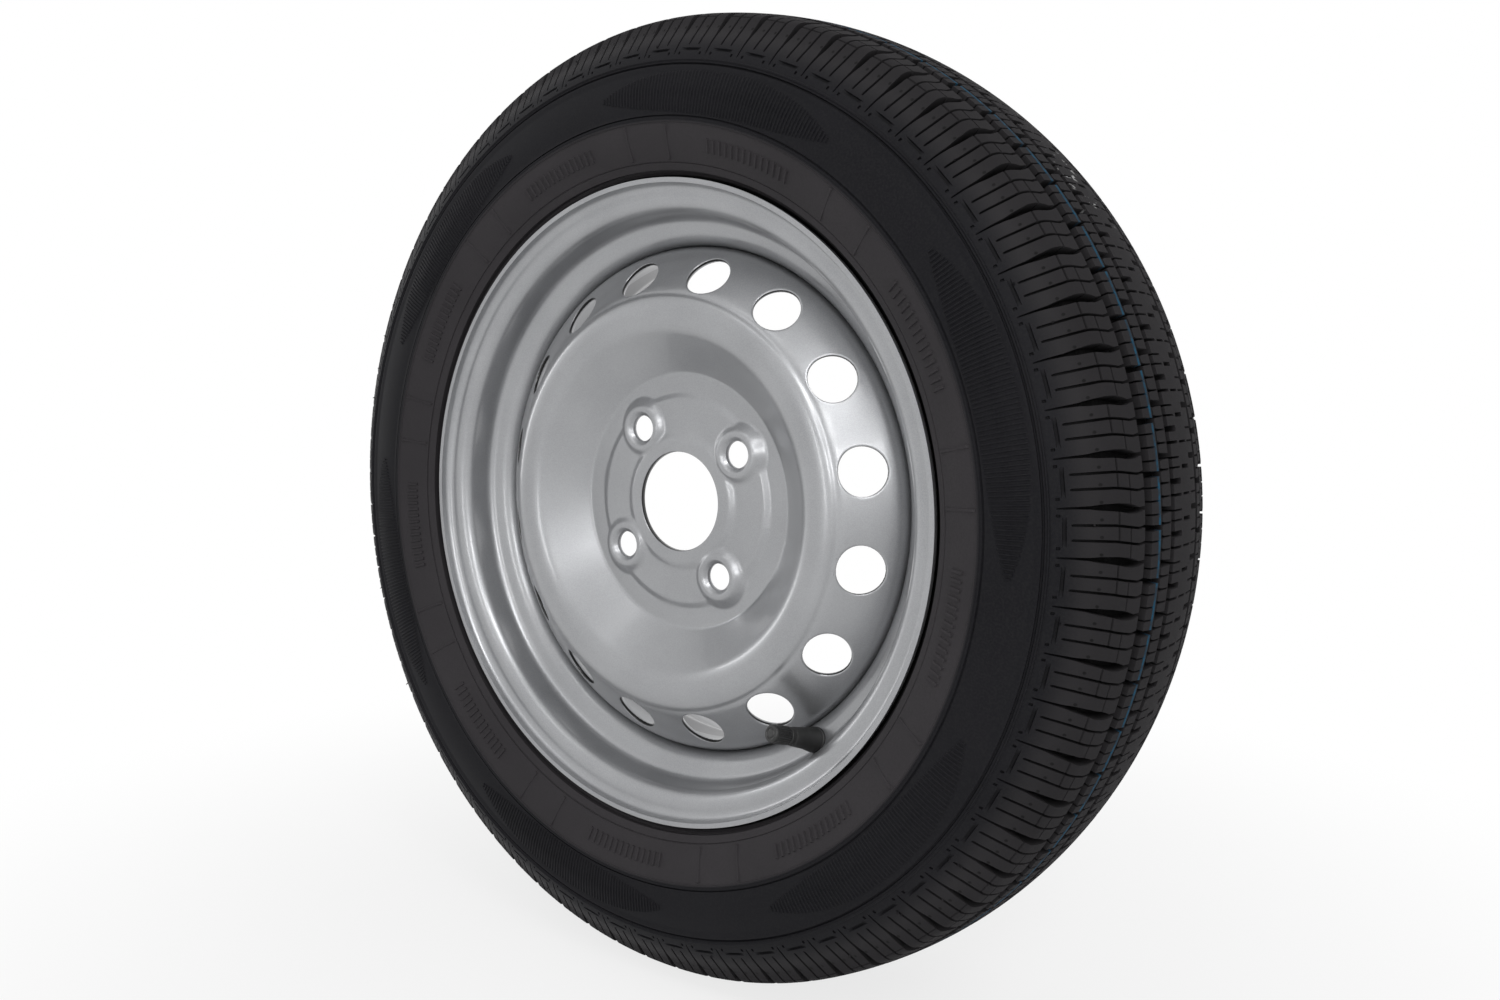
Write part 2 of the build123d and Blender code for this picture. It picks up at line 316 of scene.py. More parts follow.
class Graph:
    """The node tree of one material or of the world."""

    def __init__(self, owner: bpy.types.Material | bpy.types.World) -> None:
        """Empties the owner's node tree.

        Args:
            owner: The material or the world that holds the tree.
        """
        owner.use_nodes = True
        self.tree = owner.node_tree
        self.tree.nodes.clear()

    def node(self, kind: str, settings: dict[str, Any] | None = None,
             inputs: dict[str | int, Any] | None = None) -> bpy.types.Node:
        """Adds a node.

        Args:
            kind: Type of the node.
            settings: Its own properties, set first; stops are those of a colour ramp.
            inputs: Values of its sockets, or the sockets and terms that feed them.

        Returns:
            The node.
        """
        made = self.tree.nodes.new(kind)
        for key, value in (settings or {}).items():
            if key == "stops":
                for place, colour in value[2:]:
                    made.color_ramp.elements.new(place)
                for element, (place, colour) in zip(made.color_ramp.elements, value):
                    element.position, element.color = place, colour
            else:
                setattr(made, key, value)
        for key, value in (inputs or {}).items():
            source = value.socket if isinstance(value, Term) else value
            if isinstance(source, Socket):
                self.tree.links.new(source, made.inputs[key])
            else:
                made.inputs[key].default_value = source
        return made

    def term(self, kind: str, settings: dict[str, Any] | None = None,
             inputs: dict[str | int, Any] | None = None, output: str | int = 0) -> Term:
        """Adds a node and wraps one of its outputs.

        Args:
            kind: Type of the node.
            settings: Its own properties.
            inputs: Values and links of its sockets.
            output: Name or number of the output.

        Returns:
            The output as a term.
        """
        return Term(self, self.node(kind, settings, inputs).outputs[output])

    def math(self, operation: str, first: Term | float, second: Term | float = 0.0) -> Term:
        """A Math node."""
        return self.term("ShaderNodeMath", {"operation": operation}, {0: first, 1: second})

    def place(self) -> Term:
        """Object coordinates."""
        return self.term("ShaderNodeTexCoord", output="Object")

    def noise(self, scale: float, detail: float = 3.0,
              stretch: tuple[float, float, float] = (1, 1, 1)) -> Term:
        """Noise over the object.

        Args:
            scale: Waves per metre.
            detail: Number of finer layers.
            stretch: Factors on the three axes.

        Returns:
            A value about 0.5.
        """
        place = self.term("ShaderNodeMapping", None, {"Vector": self.place(), "Scale": stretch})
        return self.term("ShaderNodeTexNoise", None, {"Vector": place, "Scale": scale, "Detail": detail})

    def mix(self, share: Term | float, first: Term | Colour, second: Term | Colour) -> Term:
        """Blend of two colours."""
        return self.term("ShaderNodeMix", {"data_type": "RGBA"}, {0: share, 6: first, 7: second}, 2)

    def bump(self, height: Term, depth: float, strength: float = 1.0) -> Term:
        """Normal of a height of 0 to 1 that stands for a depth in metres."""
        return self.term("ShaderNodeBump", None, {"Height": height, "Distance": depth, "Strength": strength})

    def wheel_place(self) -> tuple[Term, Term, Term]:
        """Place on the wheel from Object coordinates.

        Returns:
            Radius in mm, place along the axis in mm, and angle in radians.
        """
        split = self.node("ShaderNodeSeparateXYZ", None, {0: self.place()})
        x, y, z = (Term(self, socket) * 1000.0 for socket in split.outputs)
        return self.math("SQRT", x * x + z * z), y, self.math("ARCTAN2", z, x)

    def surface(self, **inputs: Any) -> None:
        """Ends the graph in a Principled shader, whose socket names are given with _ for each space."""
        named = {key.replace("_", " "): value for key, value in inputs.items()}
        shader = self.node("ShaderNodeBsdfPrincipled", None, named)
        self.node("ShaderNodeOutputMaterial", None, {"Surface": shader.outputs[0]})


def grey(level: float, warmth: float = 0.0) -> Colour:
    """A grey, with a little more red and less blue where it is warm."""
    return (level * (1 + warmth), level, level * (1 - warmth), 1.0)


@dataclass(frozen=True)
class TyreRubber:
    """Black rubber: a paler band by the rim, dusty mottling, mould grain, a line on one rib, and painted
    shade: a near-black ring by the rim flange, near-black dots where the vent pips stand and darker cuts and
    grooves.

    Each pair of colours is the darker and the paler end of the mottling. Angles are radians, lengths mm.
    """

    name: str = "tyre_rubber"
    painted_shade_radius: float = 181.0
    band_radius: float = 206.0
    tread_radius: float = 250.0
    pip_radius: float = 256.6
    pip_count: int = 216
    chalk_angles: tuple[float, float] = (0.58, 0.86)
    chalk_span: tuple[float, float] = (-16.0, 10.0)
    chalk_radius: float = 268.0
    outer: tuple[Colour, Colour] = ((0.0070, 0.0069, 0.0088, 1), (0.0105, 0.0102, 0.0125, 1))
    band: tuple[Colour, Colour] = ((0.0330, 0.0303, 0.0330, 1), (0.0420, 0.0386, 0.0418, 1))
    tread: tuple[Colour, Colour] = ((0.0205, 0.0192, 0.0208, 1), (0.0270, 0.0254, 0.0274, 1))
    line_colour: Colour = (0.012, 0.075, 0.135, 1.0)

    def material(self) -> bpy.types.Material:
        """Builds the material from radius bands, noise and the stripe and deep attributes; the recess by the
        rim, the pip dots and the deep cuts get painted shade.

        Returns:
            The material.
        """
        made = bpy.data.materials.new(self.name)
        g = Graph(made)
        radius, along, angle = g.wheel_place()
        blotch = g.noise(14, 4).rise(0.3, 0.7)
        speck = g.noise(900, 2).rise(0.35, 0.75)
        grain = g.noise(2600, 2)
        outer = g.mix(blotch, *self.outer)
        band = g.mix(blotch, *self.band)
        # Painted shade: near black below the painted shade radius, in the recess that the rim flange shades.
        band = g.mix(radius.rise(self.painted_shade_radius - 1.0, self.painted_shade_radius), grey(0.002), band)
        side = g.mix(radius.rise(self.band_radius - 1, self.band_radius + 1), band, outer)
        tread = g.mix(blotch, *self.tread)
        base = g.mix(radius.rise(self.tread_radius - 8, self.tread_radius + 4), side, tread)
        share = g.math("FRACT", angle * (self.pip_count / TURN) + 100.31)
        across = (share - 0.5) * (self.pip_radius * TURN / self.pip_count)
        apart = g.math("SQRT", across * across + (radius - self.pip_radius) * (radius - self.pip_radius))
        # Painted shade: near-black dots where the vent pips stand.
        base = g.mix(0.8 - apart.rise(0.5, 0.9) * 0.8, base, grey(0.003))
        dusty = g.mix(speck * 0.25, base, grey(0.028))
        chalk = g.noise(380, 3, (1, 0.35, 1)).rise(0.60, 0.66) * g.noise(55, 2).rise(0.5, 0.62)
        chalk = chalk * angle.between(*self.chalk_angles, 0.05) * along.between(*self.chalk_span, 4)
        chalk = chalk * radius.rise(self.chalk_radius, self.chalk_radius + 1.5)
        chalky = g.mix(chalk * 0.75, dusty, grey(0.5))
        stripe = g.term("ShaderNodeAttribute", {"attribute_name": "stripe"}, output="Fac")
        worn = stripe * (0.25 + g.noise(260, 3).rise(0.35, 0.65) * 0.65)
        # Painted shade: the deep attribute darkens the cuts and grooves by their depth.
        deep = g.term("ShaderNodeAttribute", {"attribute_name": "deep"}, output="Fac")
        colour = g.mix(deep * 0.9, g.mix(worn, chalky, self.line_colour), grey(0.0015))
        rough = 0.56 + blotch * 0.08 + speck * 0.08 - radius.between(0, self.band_radius, 1.0) * 0.05
        rough = rough + radius.rise(self.tread_radius, self.tread_radius + 12) * 0.25
        normal = g.bump(grain * 0.6 + g.noise(700, 2) * 0.4, 0.00018, 0.6)
        g.surface(Base_Color=colour, Roughness=rough, Normal=normal, Specular_IOR_Level=0.1)
        return made


@dataclass(frozen=True)
class SilverPaint:
    """Satin silver paint on pressed steel: fine flake, faint blotches and a lacquer.

    The cut walls of the bore and the vents get painted shade in near black, and the well behind the disc gets
    painted shade in a darker grey.
    """

    name: str = "silver_paint"
    colour: Colour = (0.376, 0.381, 0.393, 1.0)
    shade: Colour = (0.296, 0.301, 0.312, 1.0)
    well_painted_shade: Colour = (0.10, 0.10, 0.105, 1.0)
    bore_radius: float = 28.55
    vent_radius: float = 12.8
    vent_count: int = 16
    first_vent_angle: float = 10.2
    vent_place: tuple[float, float] = (128.3, -43.12)
    cone_run: tuple[float, float] = (0.766, 0.643)
    well_shade_radius: float = 143.5
    well_shade_span: tuple[float, float] = (-12.0, 34.0)

    def material(self) -> bpy.types.Material:
        """Builds the material from flake, blotches and a fine peel in the lacquer.

        Returns:
            The material.
        """
        made = bpy.data.materials.new(self.name)
        g = Graph(made)
        cells = {"Vector": g.place(), "Scale": 3200.0}
        flake = g.term("ShaderNodeTexVoronoi", None, cells, "Color")
        sparkle = g.term("ShaderNodeSeparateColor", None, {0: flake}).rise(0.0, 1.0)
        blotch = g.noise(22, 4).rise(0.3, 0.7)
        paint = g.mix(blotch * 0.4 + sparkle * 0.6, self.shade, self.colour)
        radius, along, angle = g.wheel_place()
        # Painted shade: a darker grey over the well behind the disc.
        thin = along.between(*self.well_shade_span, 10.0) * radius.rise(self.well_shade_radius - 2, self.well_shade_radius)
        paint_with_well_shade = g.mix(thin * 0.8, paint, self.well_painted_shade)
        down = (radius - self.vent_place[0]) * self.cone_run[0]
        down = down + (along - self.vent_place[1]) * self.cone_run[1]
        turn = angle * (self.vent_count / TURN) + (100.5 - self.first_vent_angle * self.vent_count / 360)
        across = (g.math("FRACT", turn) - 0.5) * radius * (TURN / self.vent_count)
        apart = g.math("SQRT", down * down + across * across)
        # Painted shade: near black on the cut walls of the bore and the vents.
        whole = radius.rise(self.bore_radius + 0.02, self.bore_radius + 0.12)
        whole = whole * apart.rise(self.vent_radius + 0.06, self.vent_radius + 0.2)
        colour = g.mix(whole, grey(0.02), paint_with_well_shade)
        rough = 0.31 + sparkle * 0.06 + blotch * 0.03
        normal = g.bump(sparkle * 0.35 + g.noise(420, 2) * 0.65, 0.00005, 0.15)
        g.surface(Base_Color=colour, Metallic=0.72, Roughness=rough, Normal=normal,
                  Coat_Weight=0.6, Coat_Roughness=0.13)
        return made


@dataclass(frozen=True)
class Moulding:
    """Black rubber or plastic with a fine moulded grain."""

    name: str
    colour: Colour
    roughness: float
    grain: float

    def material(self) -> bpy.types.Material:
        """Builds the material from two noises.

        Returns:
            The material.
        """
        made = bpy.data.materials.new(self.name)
        g = Graph(made)
        cloud = g.noise(180, 3).rise(0.3, 0.7)
        pale = tuple(1.5 * part + 0.004 for part in self.colour[:3])
        colour = g.mix(cloud * 0.6, self.colour, (*pale, 1.0))
        rough = self.roughness + cloud * 0.08
        g.surface(Base_Color=colour, Roughness=rough, Normal=g.bump(g.noise(self.grain, 2), 0.00004, 0.6))
        return made


@dataclass(frozen=True)
class BareMetal:
    """Bare metal with fine turning or drawing marks and a little tarnish."""

    name: str
    colour: Colour
    tarnish: Colour
    roughness: float

    def material(self) -> bpy.types.Material:
        """Builds the material from a stretched noise and a cloudy one.

        Returns:
            The material.
        """
        made = bpy.data.materials.new(self.name)
        g = Graph(made)
        cloud = g.noise(350, 3).rise(0.35, 0.7)
        marks = g.noise(2500, 2, (1, 0.2, 1))
        colour = g.mix(cloud, self.colour, self.tarnish)
        g.surface(Base_Color=colour, Metallic=1.0, Roughness=self.roughness + marks * 0.12,
                  Normal=g.bump(marks, 0.00002, 0.5))
        return made


# Tyre


@dataclass(frozen=True)
class Cut:
    """A cut across the tread: its share of the pitch, and places along the section with width and depth."""

    phase: float
    stations: tuple[tuple[float, float, float], ...]
    wall: float = 0.25

    def columns(self, places: Array, pitch: float) -> tuple[Array, Array]:
        """Four columns: both lips and both edges of the floor.

        Args:
            places: Places along the section.
            pitch: Length of one pitch.

        Returns:
            Shares of the pitch and depths, places by four.
        """
        station = np.array(self.stations)
        width, depth = (np.interp(places, station[:, 0], column) for column in station[:, 1:].T)
        lip, floor = width / 2 / pitch, np.maximum(width / 2 - self.wall, width * 0.12) / pitch
        zero = np.zeros_like(depth)
        return (self.phase + np.stack([-lip, -floor, floor, lip], axis=1),
                np.stack([zero, depth, depth, zero], axis=1))


@dataclass(frozen=True)
class Ring:
    """A groove round the tyre, or a raised line where its depth is below zero, over a span of each pitch."""

    place: float
    width: float
    depth: float
    wall: float = 0.2
    start: float = 0.0
    span: float = 1.0

    def places(self) -> Array:
        """Places of both lips and both edges of the floor."""
        half = self.width / 2
        return self.place + np.array([-half, self.wall - half, half - self.wall, half])

    def depths(self, places: Array, phases: Array) -> Array:
        """Depth over a grid.

        Args:
            places: Places along the section.
            phases: Shares of the pitch, places by columns.

        Returns:
            Full depth on the floor and none outside, along the walls in a straight slope.
        """
        near = np.clip((self.width / 2 - np.abs(places - self.place)) / self.wall, 0, 1)
        on = (phases - self.start) % 1 <= self.span
        return self.depth * near[:, None] * on


@dataclass(frozen=True)
class Rib:
    """A strip of the tread with its own cuts, up to a place along the section."""

    end: float
    cuts: tuple[Cut, ...]

    def columns(self, places: Array, pitch: float) -> tuple[Array, Array]:
        """Columns of all cuts, in order.

        Args:
            places: Places along the section.
            pitch: Length of one pitch.

        Returns:
            Shares of the pitch and depths, places by columns.
        """
        phases, depths = zip(*(cut.columns(places, pitch) for cut in self.cuts))
        return np.hstack(phases), np.hstack(depths)


@dataclass
class Tyre:
    """The tyre: sidewalls with raised lines and flutes, slotted shoulders and ribs with notches and sipes."""

    diameter: float = 547.0
    section_width: float = 157.0
    widest_radius: float = 216.0
    shoulder_radius: float = 253.0
    shoulder_width: float = 132.0
    tread_width: float = 117.0
    crown_drop: float = 9.0
    lap_radius: float = 179.05
    lap_offset: float = 64.65
    tread_depth: float = 7.5
    outer_groove: float = 41.0
    outer_groove_width: float = 5.8
    inner_groove: float = 18.1
    inner_groove_width: float = 4.2
    groove_draft: float = 0.8
    liner_radius: float = 251.0
    pitch_count: int = 72
    first_slot_angle: float = 3.2
    far_phase: float = 1.425
    shoulder_rounding: float = 13.0
    ring_radius: float = 237.5
    panel_count: int = 6
    panel_span: float = 40.0
    flute_pitch: float = 0.55
    flute_radius: float = 221.0
    flute_reach: float = 10.5
    band_radius: float = 206.0
    tick_pairs: int = 9
    bar_count: int = 14
    tick_span: tuple[float, float] = (187.0, 204.8)
    bar_span: tuple[float, float] = (192.0, 199.0)
    hair_count: int = 26
    hair_radii: tuple[float, float] = (244.0, 257.0)
    hair_heights: tuple[float, float] = (0.8, 1.8)
    hair_half: float = 0.28
    bead_toe: tuple[float, float] = (163.2, 39.9)
    bead_heel: tuple[float, float] = (164.95, 56.9)
    inner_line: Path2 = ((236.0, 66.0), (216.0, 70.5), (190.0, 62.0))
    columns: int = 720

    def __post_init__(self) -> None:
        """Works out the outer line of the section: a sidewall arc, a straight buttress and the crown."""
        half = self.tread_width / 2
        ends = np.array([(self.lap_radius, self.lap_offset), (self.widest_radius, self.section_width / 2),
                         (self.shoulder_radius, self.shoulder_width / 2)])
        chords = 2 * (ends[1:] - ends[0])
        centre = np.linalg.solve(chords, np.sum(ends[1:] ** 2, axis=1) - np.sum(ends[0] ** 2))
        arms = ends[[0, 2]] - centre
        first, last = np.arctan2(arms[:, 1], arms[:, 0])
        turn = np.linspace(first, last, 200)
        arc = centre + np.hypot(*arms[0]) * np.stack([np.cos(turn), np.sin(turn)], axis=1)
        along = np.linspace(half, 0, 120)
        rough = filled(np.vstack([arc, np.stack([self.crown(along), along], axis=1)]), 0.25)
        rough = self._evenly(rough)
        window = np.hanning(int(self.shoulder_rounding / 0.25) + 2)
        window = window / window.sum()
        pad = len(window) // 2
        ahead = 2 * rough[-1] - rough[-2:-pad - 2:-1]
        ahead[:, 0] = rough[-2:-pad - 2:-1, 0]
        wide = np.vstack([2 * rough[0] - rough[pad:0:-1], rough, ahead])
        smooth = np.stack([np.convolve(column, window, "same")[pad:-pad] for column in wide.T], axis=1)
        self.line = smooth
        self.places = np.concatenate([[0.0], np.cumsum(np.hypot(*np.diff(smooth, axis=0).T))])
        normal = left_normals(smooth)
        straight = np.interp(smooth[:, 1], [half - 1, half + 8], [0.0, 1.0])
        straight = np.where(smooth[:, 0] <= self.widest_radius, 1.0, straight)[:, None]
        inward = np.array([-1.0, 0.0]) * (1 - straight) - normal * straight
        self.inward = inward / np.hypot(*inward.T)[:, None]

    @staticmethod
    def _evenly(path: Array) -> Array:
        """The path's points spaced by a quarter of a millimetre.

        Args:
            path: Points of the path.

        Returns:
            The evenly spaced points.
        """
        place = np.concatenate([[0.0], np.cumsum(np.hypot(*np.diff(path, axis=0).T))])
        even = np.linspace(0, place[-1], int(place[-1] / 0.25))
        return np.stack([np.interp(even, place, column) for column in path.T], axis=1)

    def crown(self, along: Array) -> Array:
        """Radius of the tread, falling with the square of the distance from the middle plane."""
        return self.diameter / 2 - self.crown_drop * (2 * along / self.tread_width) ** 2

    def at_radius(self, radius: float) -> float:
        """Place on the outer line at a radius."""
        return float(np.interp(radius, self.line[:, 0], self.places))

    def at_offset(self, offset: float) -> float:
        """Place on the tread at a distance from the middle plane."""
        tread = self.line[:, 0] > self.widest_radius
        return float(np.interp(-offset, -self.line[tread, 1], self.places[tread]))

    def outline(self, places: Array, depths: Array) -> tuple[Array, Array]:
        """Radius and offset of the outer line at places, moved inwards by depths.

        Args:
            places: Places along the line.
            depths: Depths, places by columns.

        Returns:
            Radii and offsets, places by columns.
        """
        radius, offset, down, across = (np.interp(places, self.places, column)[:, None]
                                        for column in (*self.line.T, *self.inward.T))
        return radius + down * depths, offset + across * depths

    def _closed(self, radius: Array, along: Array, angle: Array, back: Path2) -> Skin:
        """A ring from an outer grid and a few inner points, turned about the axis.

        Args:
            radius: Radii of the outer grid, rows by columns.
            along: Places along the axis, rows by columns.
            angle: Angles, rows by columns.
            back: Radius and place along the axis of the inner points, from the last row to the first.

        Returns:
            The closed ring.
        """
        hidden = np.array(back, float)
        ones = np.ones((1, radius.shape[1]))
        span = np.linspace(0, 1, len(hidden))[:, None]
        inner_angle = angle[-1:] * (1 - span) + angle[:1] * span
        outer = wheel_points(radius, along, angle)
        inner = wheel_points(hidden[:, :1] * ones, hidden[:, 1:] * ones, inner_angle)
        return Skin.grid(np.concatenate([outer, inner]), rows_meet=True, columns_meet=True)

    def _rows(self, needed: Sequence[float], first: float, last: float, step: float) -> Array:
        """Sorted rows between two places, with no gap above a step.

        Args:
            needed: Places that have to be rows.
            first: Place of the first row.
            last: Place of the last row.
            step: Largest gap.

        Returns:
            Places of all rows.
        """
        inside = np.array([place for place in needed if first < place < last])
        rows = np.unique(np.round(np.concatenate([[first, last], inside]), 3))
        return filled(np.stack([rows, np.zeros_like(rows)], axis=1), step)[:, 0]

    def _pitched(self, phases: Array, side: Side) -> Array:
        """Angles of the columns of one pitch, repeated round the tyre.

        Args:
            phases: Shares of the pitch, rows by columns.
            side: The far side is the near side turned half round a radius.

        Returns:
            Angles in radians, rows by all columns.
        """
        rows = phases.shape[0]
        share = phases[:, None, :] + np.arange(self.pitch_count)[None, :, None]
        share = share.reshape(rows, -1)
        if side is Side.REAR:
            share = self.far_phase - share
        return np.radians(self.first_slot_angle) + (share - 0.5) * TURN / self.pitch_count

    def shoulder(self, side: Side) -> Skin:
        """One shoulder: slots and sipes that bend at the tread's edge, dashes below them and a raised ring.

        Args:
            side: Which side of the tyre.

        Returns:
            The ring from the raised line to the middle of the outer groove.
        """
        at, on = self.at_radius, self.at_offset
        pitch = TURN * self.diameter / 2 / self.pitch_count
        slot = ((at(240.4), 0.7, 0.0), (at(241.4), 0.9, 0.9), (at(248.0), 1.2, 2.2), (at(252.5), 1.6, 4.6),
                (at(256.5), 2.9, 6.4), (on(59.5), 3.8, 7.2), (on(55.0), 4.4, 7.2), (on(50.5), 3.6, 6.8),
                (on(48.0), 2.4, 6.0), (on(43.0), 1.6, 5.5))
        sipe = ((at(245.9), 0.9, 0.0), (at(246.9), 1.3, 1.5), (at(257.0), 1.4, 2.2), (on(58.5), 1.3, 3.2),
                (on(46.0), 1.2, 3.2), (on(43.0), 1.6, 3.6))
        pit = ((at(240.3), 1.3, 0.0), (at(240.6), 1.5, 0.9), (at(241.7), 1.5, 0.9), (at(242.0), 1.3, 0.0))
        cuts = (Cut(0.16, sipe), Cut(0.35, pit, 0.2), Cut(0.5, slot, 0.3), Cut(0.69, pit, 0.2),
                Cut(0.86, sipe))
        rings = (
            Ring(at(self.ring_radius), 1.5, -0.9, 0.5),
            Ring(at(243.4), 1.9, 1.1, 0.3, 0.79, 0.47),
            Ring(on(59.4), 1.0, 2.4, 0.25, 0.85, 0.66),
            Ring(on(53.9), 1.0, 2.8, 0.25, 0.49, 0.68),
        )
        width = self.outer_groove_width * 1.02
        groove = Ring(on(self.outer_groove), width, self.tread_depth, self.groove_draft)
        needed = [place for ring in (*rings, groove) for place in ring.places()]
        needed += [station[0] for cut in cuts for station in cut.stations]
        start = at(self.ring_radius) - 0.75
        places = self._rows(needed, start, on(self.outer_groove), 2.6)
        phases, cut_depth = Rib(np.inf, cuts).columns(places, pitch)
        dents = np.maximum(cut_depth, groove.depths(places, phases))
        for ring in rings[1:]:
            dents = np.maximum(dents, ring.depths(places, phases))
        dents = dents + rings[0].depths(places, phases)
        bend = np.interp(places, [at(247), on(59.5), on(48), on(43)], [0.0, -0.02, -0.10, -0.07])[:, None]
        depths = np.tile(dents, (1, self.pitch_count))
        radius, offset = self.outline(places, depths)
        angle = self._pitched(phases + bend, side)
        sign = side.value
        back = [(self.liner_radius, sign * self.outer_groove), (self.liner_radius - 1, sign * 46.0),
                (236.0, sign * 60.0), (236.0, sign * 66.0)]
        skin = self._closed(radius, sign * offset, angle, back)
        # The deep share paints shade into the cuts and the groove.
        skin.shares = {"deep": self._filled_out(np.clip(depths / 2.5, 0, 1), skin)}
        return skin

    @staticmethod
    def _filled_out(shares: Array, skin: Skin) -> Array:
        """Shares of the outer grid's points, with none on the inner points after them."""
        return np.concatenate([shares.reshape(-1), np.zeros(len(skin.points) - shares.size)])

    def ribs(self) -> Skin:
        """The ribs between the outer grooves, with notches, sipes, centre slots and the coloured line.

        Returns:
            The ring, with the line's share as its stripe attribute and the cuts as its deep one.
        """
        pitch = TURN * self.diameter / 2 / self.pitch_count
        inner, edge, thin = self.inner_groove, self.outer_groove, 29.3
        lip = inner - self.inner_groove_width / 2

        def rib(end: float, low: float, high: float, notch: float, mouth: float) -> Rib:
            """A rib with a notch and three sipes in each pitch, which open wider at their mouth.

            Args:
                end: Place up to which the rib reaches.
                low: Its lower edge.
                high: Its upper edge.
                notch: Share of the pitch where the notch lies.
                mouth: Edge at which the cuts are open.

            Returns:
                The rib.
            """
            far = low + high - mouth
            run, ahead = far - mouth, np.sign(far - mouth)
            span = np.array([mouth - 2 * ahead, *(mouth + share * run for share in (0.05, 0.25, 0.72, 0.78))])
            wide = np.array([*span[:4], far + ahead * 1.2])
            cuts = []
            for step in range(4):
                deep, place = step == 0, wide if step == 0 else span
                size = (4.2, 4.2, 3.2, 2.6, 2.0) if deep else (2.2, 2.0, 1.0, 0.9, 0.8)
                depth = (6.6, 6.6, 6.4, 5.8, 5.0) if deep else (4.0, 4.0, 3.4, 3.0, 0.0)
                stations = sorted(zip(place, size, depth))
                cuts.append(Cut((notch + step / 4) % 1, tuple(stations)))
            return Rib(end, tuple(sorted(cuts, key=lambda cut: cut.phase)))

        def middle(phase: float, left: float, core: float, right: float) -> Cut:
            """A cut of the middle rib with its own width at the left edge, in the core and at the right.

            Args:
                phase: Share of the pitch.
                left: Width at the left edge, or 0 for none.
                core: Width in the core.
                right: Width at the right edge.

            Returns:
                The cut.
            """
            places = (-lip - 2, -7.5, -7.0, -4.6, -4.2, 4.2, 4.6, 7.0, 7.5, lip + 2)
            widths = (left, left, core, core, core, core, core, core, right, right)
            depths = (5.5, 5.5, 0.0, 0.0, 4.5, 4.5, 0.0, 0.0, 5.5, 5.5)
            return Cut(phase, tuple((place, max(width, 0.5), depth * (width > 0))
                                    for place, width, depth in zip(places, widths, depths)))

        flip = self.far_phase
        centre = Rib(inner, (middle(0.0, 2.8, 0.0, 1.0), middle(0.26, 1.0, 2.0, 0.0),
                             middle(0.45, 1.0, 0.0, 2.8), middle(0.74, 1.4, 1.2, 1.0)))
        strips = (
            rib(-thin, -edge, -thin, 0.19, -edge), rib(-inner, -thin, -inner, 0.5, -thin), centre,
            rib(thin, inner, thin, (flip - 0.5) % 1, thin),
            rib(edge + 1, thin, edge, (flip - 0.19) % 1, edge),
        )
        rings = [Ring(sign * place, width, depth, wall) for sign in (-1, 1) for place, width, depth, wall in (
            (edge, self.outer_groove_width, self.tread_depth, self.groove_draft), (thin, 1.3, 3.6, 0.25),
            (inner, self.inner_groove_width, self.tread_depth, self.groove_draft))]
        line = Ring(-31.4, 1.9, 1.0, 0.2)
        needed = [place for ring in (*rings, line) for place in ring.places()]
        needed += [station[0] for strip in strips for cut in strip.cuts for station in cut.stations]
        rows = self._rows(needed, -edge, edge, 3.0)
        ends = np.array([strip.end for strip in strips])
        owner = np.searchsorted(ends, rows)
        grids = [strip.columns(rows, pitch) for strip in strips]
        phases = np.stack([grid[0] for grid in grids])[owner, np.arange(len(rows))]
        dents = np.stack([grid[1] for grid in grids])[owner, np.arange(len(rows))]
        for ring in rings:
            dents = np.maximum(dents, ring.depths(rows, phases))
        depths = np.tile(dents, (1, self.pitch_count))
        radius = self.crown(rows)[:, None] - depths
        angle = self._pitched(phases - 0.18, Side.FRONT)
        back = [(self.liner_radius, edge), (self.liner_radius, 0.0), (self.liner_radius, -edge)]
        skin = self._closed(radius, rows[:, None] * np.ones_like(radius), angle, back)
        painted = line.depths(rows, phases) * (dents < 0.3)
        stripe = np.tile(painted, (1, self.pitch_count))
        # The deep share paints shade into the cuts and grooves.
        skin.shares = {"stripe": self._filled_out(stripe, skin),
                       "deep": self._filled_out(np.clip(depths / 2.5, 0, 1), skin)}
        return skin

    def sidewall(self, side: Side) -> Skin:
        """One sidewall with its bead, raised and sunk lines round it and a sunk zone for the panels.

        Args:
            side: Which side of the tyre.

        Returns:
            The ring from the rim to the raised line at the shoulder.
        """
        at = self.at_radius
        rings = (Ring(at(180.2), 5.2, 3.6, 1.8), Ring(at(186.0), 0.9, 0.5, 0.3),
                 Ring(at(self.band_radius), 1.6, -0.6, 0.5), Ring(at(self.flute_radius), 26.0, 0.8, 1.5),
                 Ring(at(208.6), 1.0, 0.9, 0.3), Ring(at(235.4), 1.4, 1.2, 0.3))
        needed = [place for ring in rings for place in ring.places()]
        places = self._rows(needed, 0.0, at(self.ring_radius) - 0.75, 1.8)
        angle = np.arange(self.columns)[None, :] * TURN / self.columns * np.ones((len(places), 1))
        depths = sum(ring.depths(places, angle * 0) for ring in rings)
        radius, offset = self.outline(places, depths)
        sign = side.value
        inside = (*self.inner_line, self.bead_toe, self.bead_heel, (174.3, self.bead_heel[1]),
                  (self.lap_radius, 61.4))
        back = [(at_radius, sign * at_offset) for at_radius, at_offset in inside]
        return self._closed(radius, sign * offset, angle, back)

    def _standing(self, radius: Array, angle: Array, height: Array, side: Side) -> Array:
        """Points that stand on a sidewall.

        Args:
            radius: Radii on the outer line.
            angle: Angles.
            height: Heights out of the rubber.
            side: Which side of the tyre.

        Returns:
            The points.
        """
        place = np.interp(radius, self.line[:, 0], self.places)
        at, offset, down, across = (np.interp(place, self.places, column)
                                    for column in (*self.line.T, *self.inward.T))
        return wheel_points(at - down * height, side.value * (offset - across * height), angle)

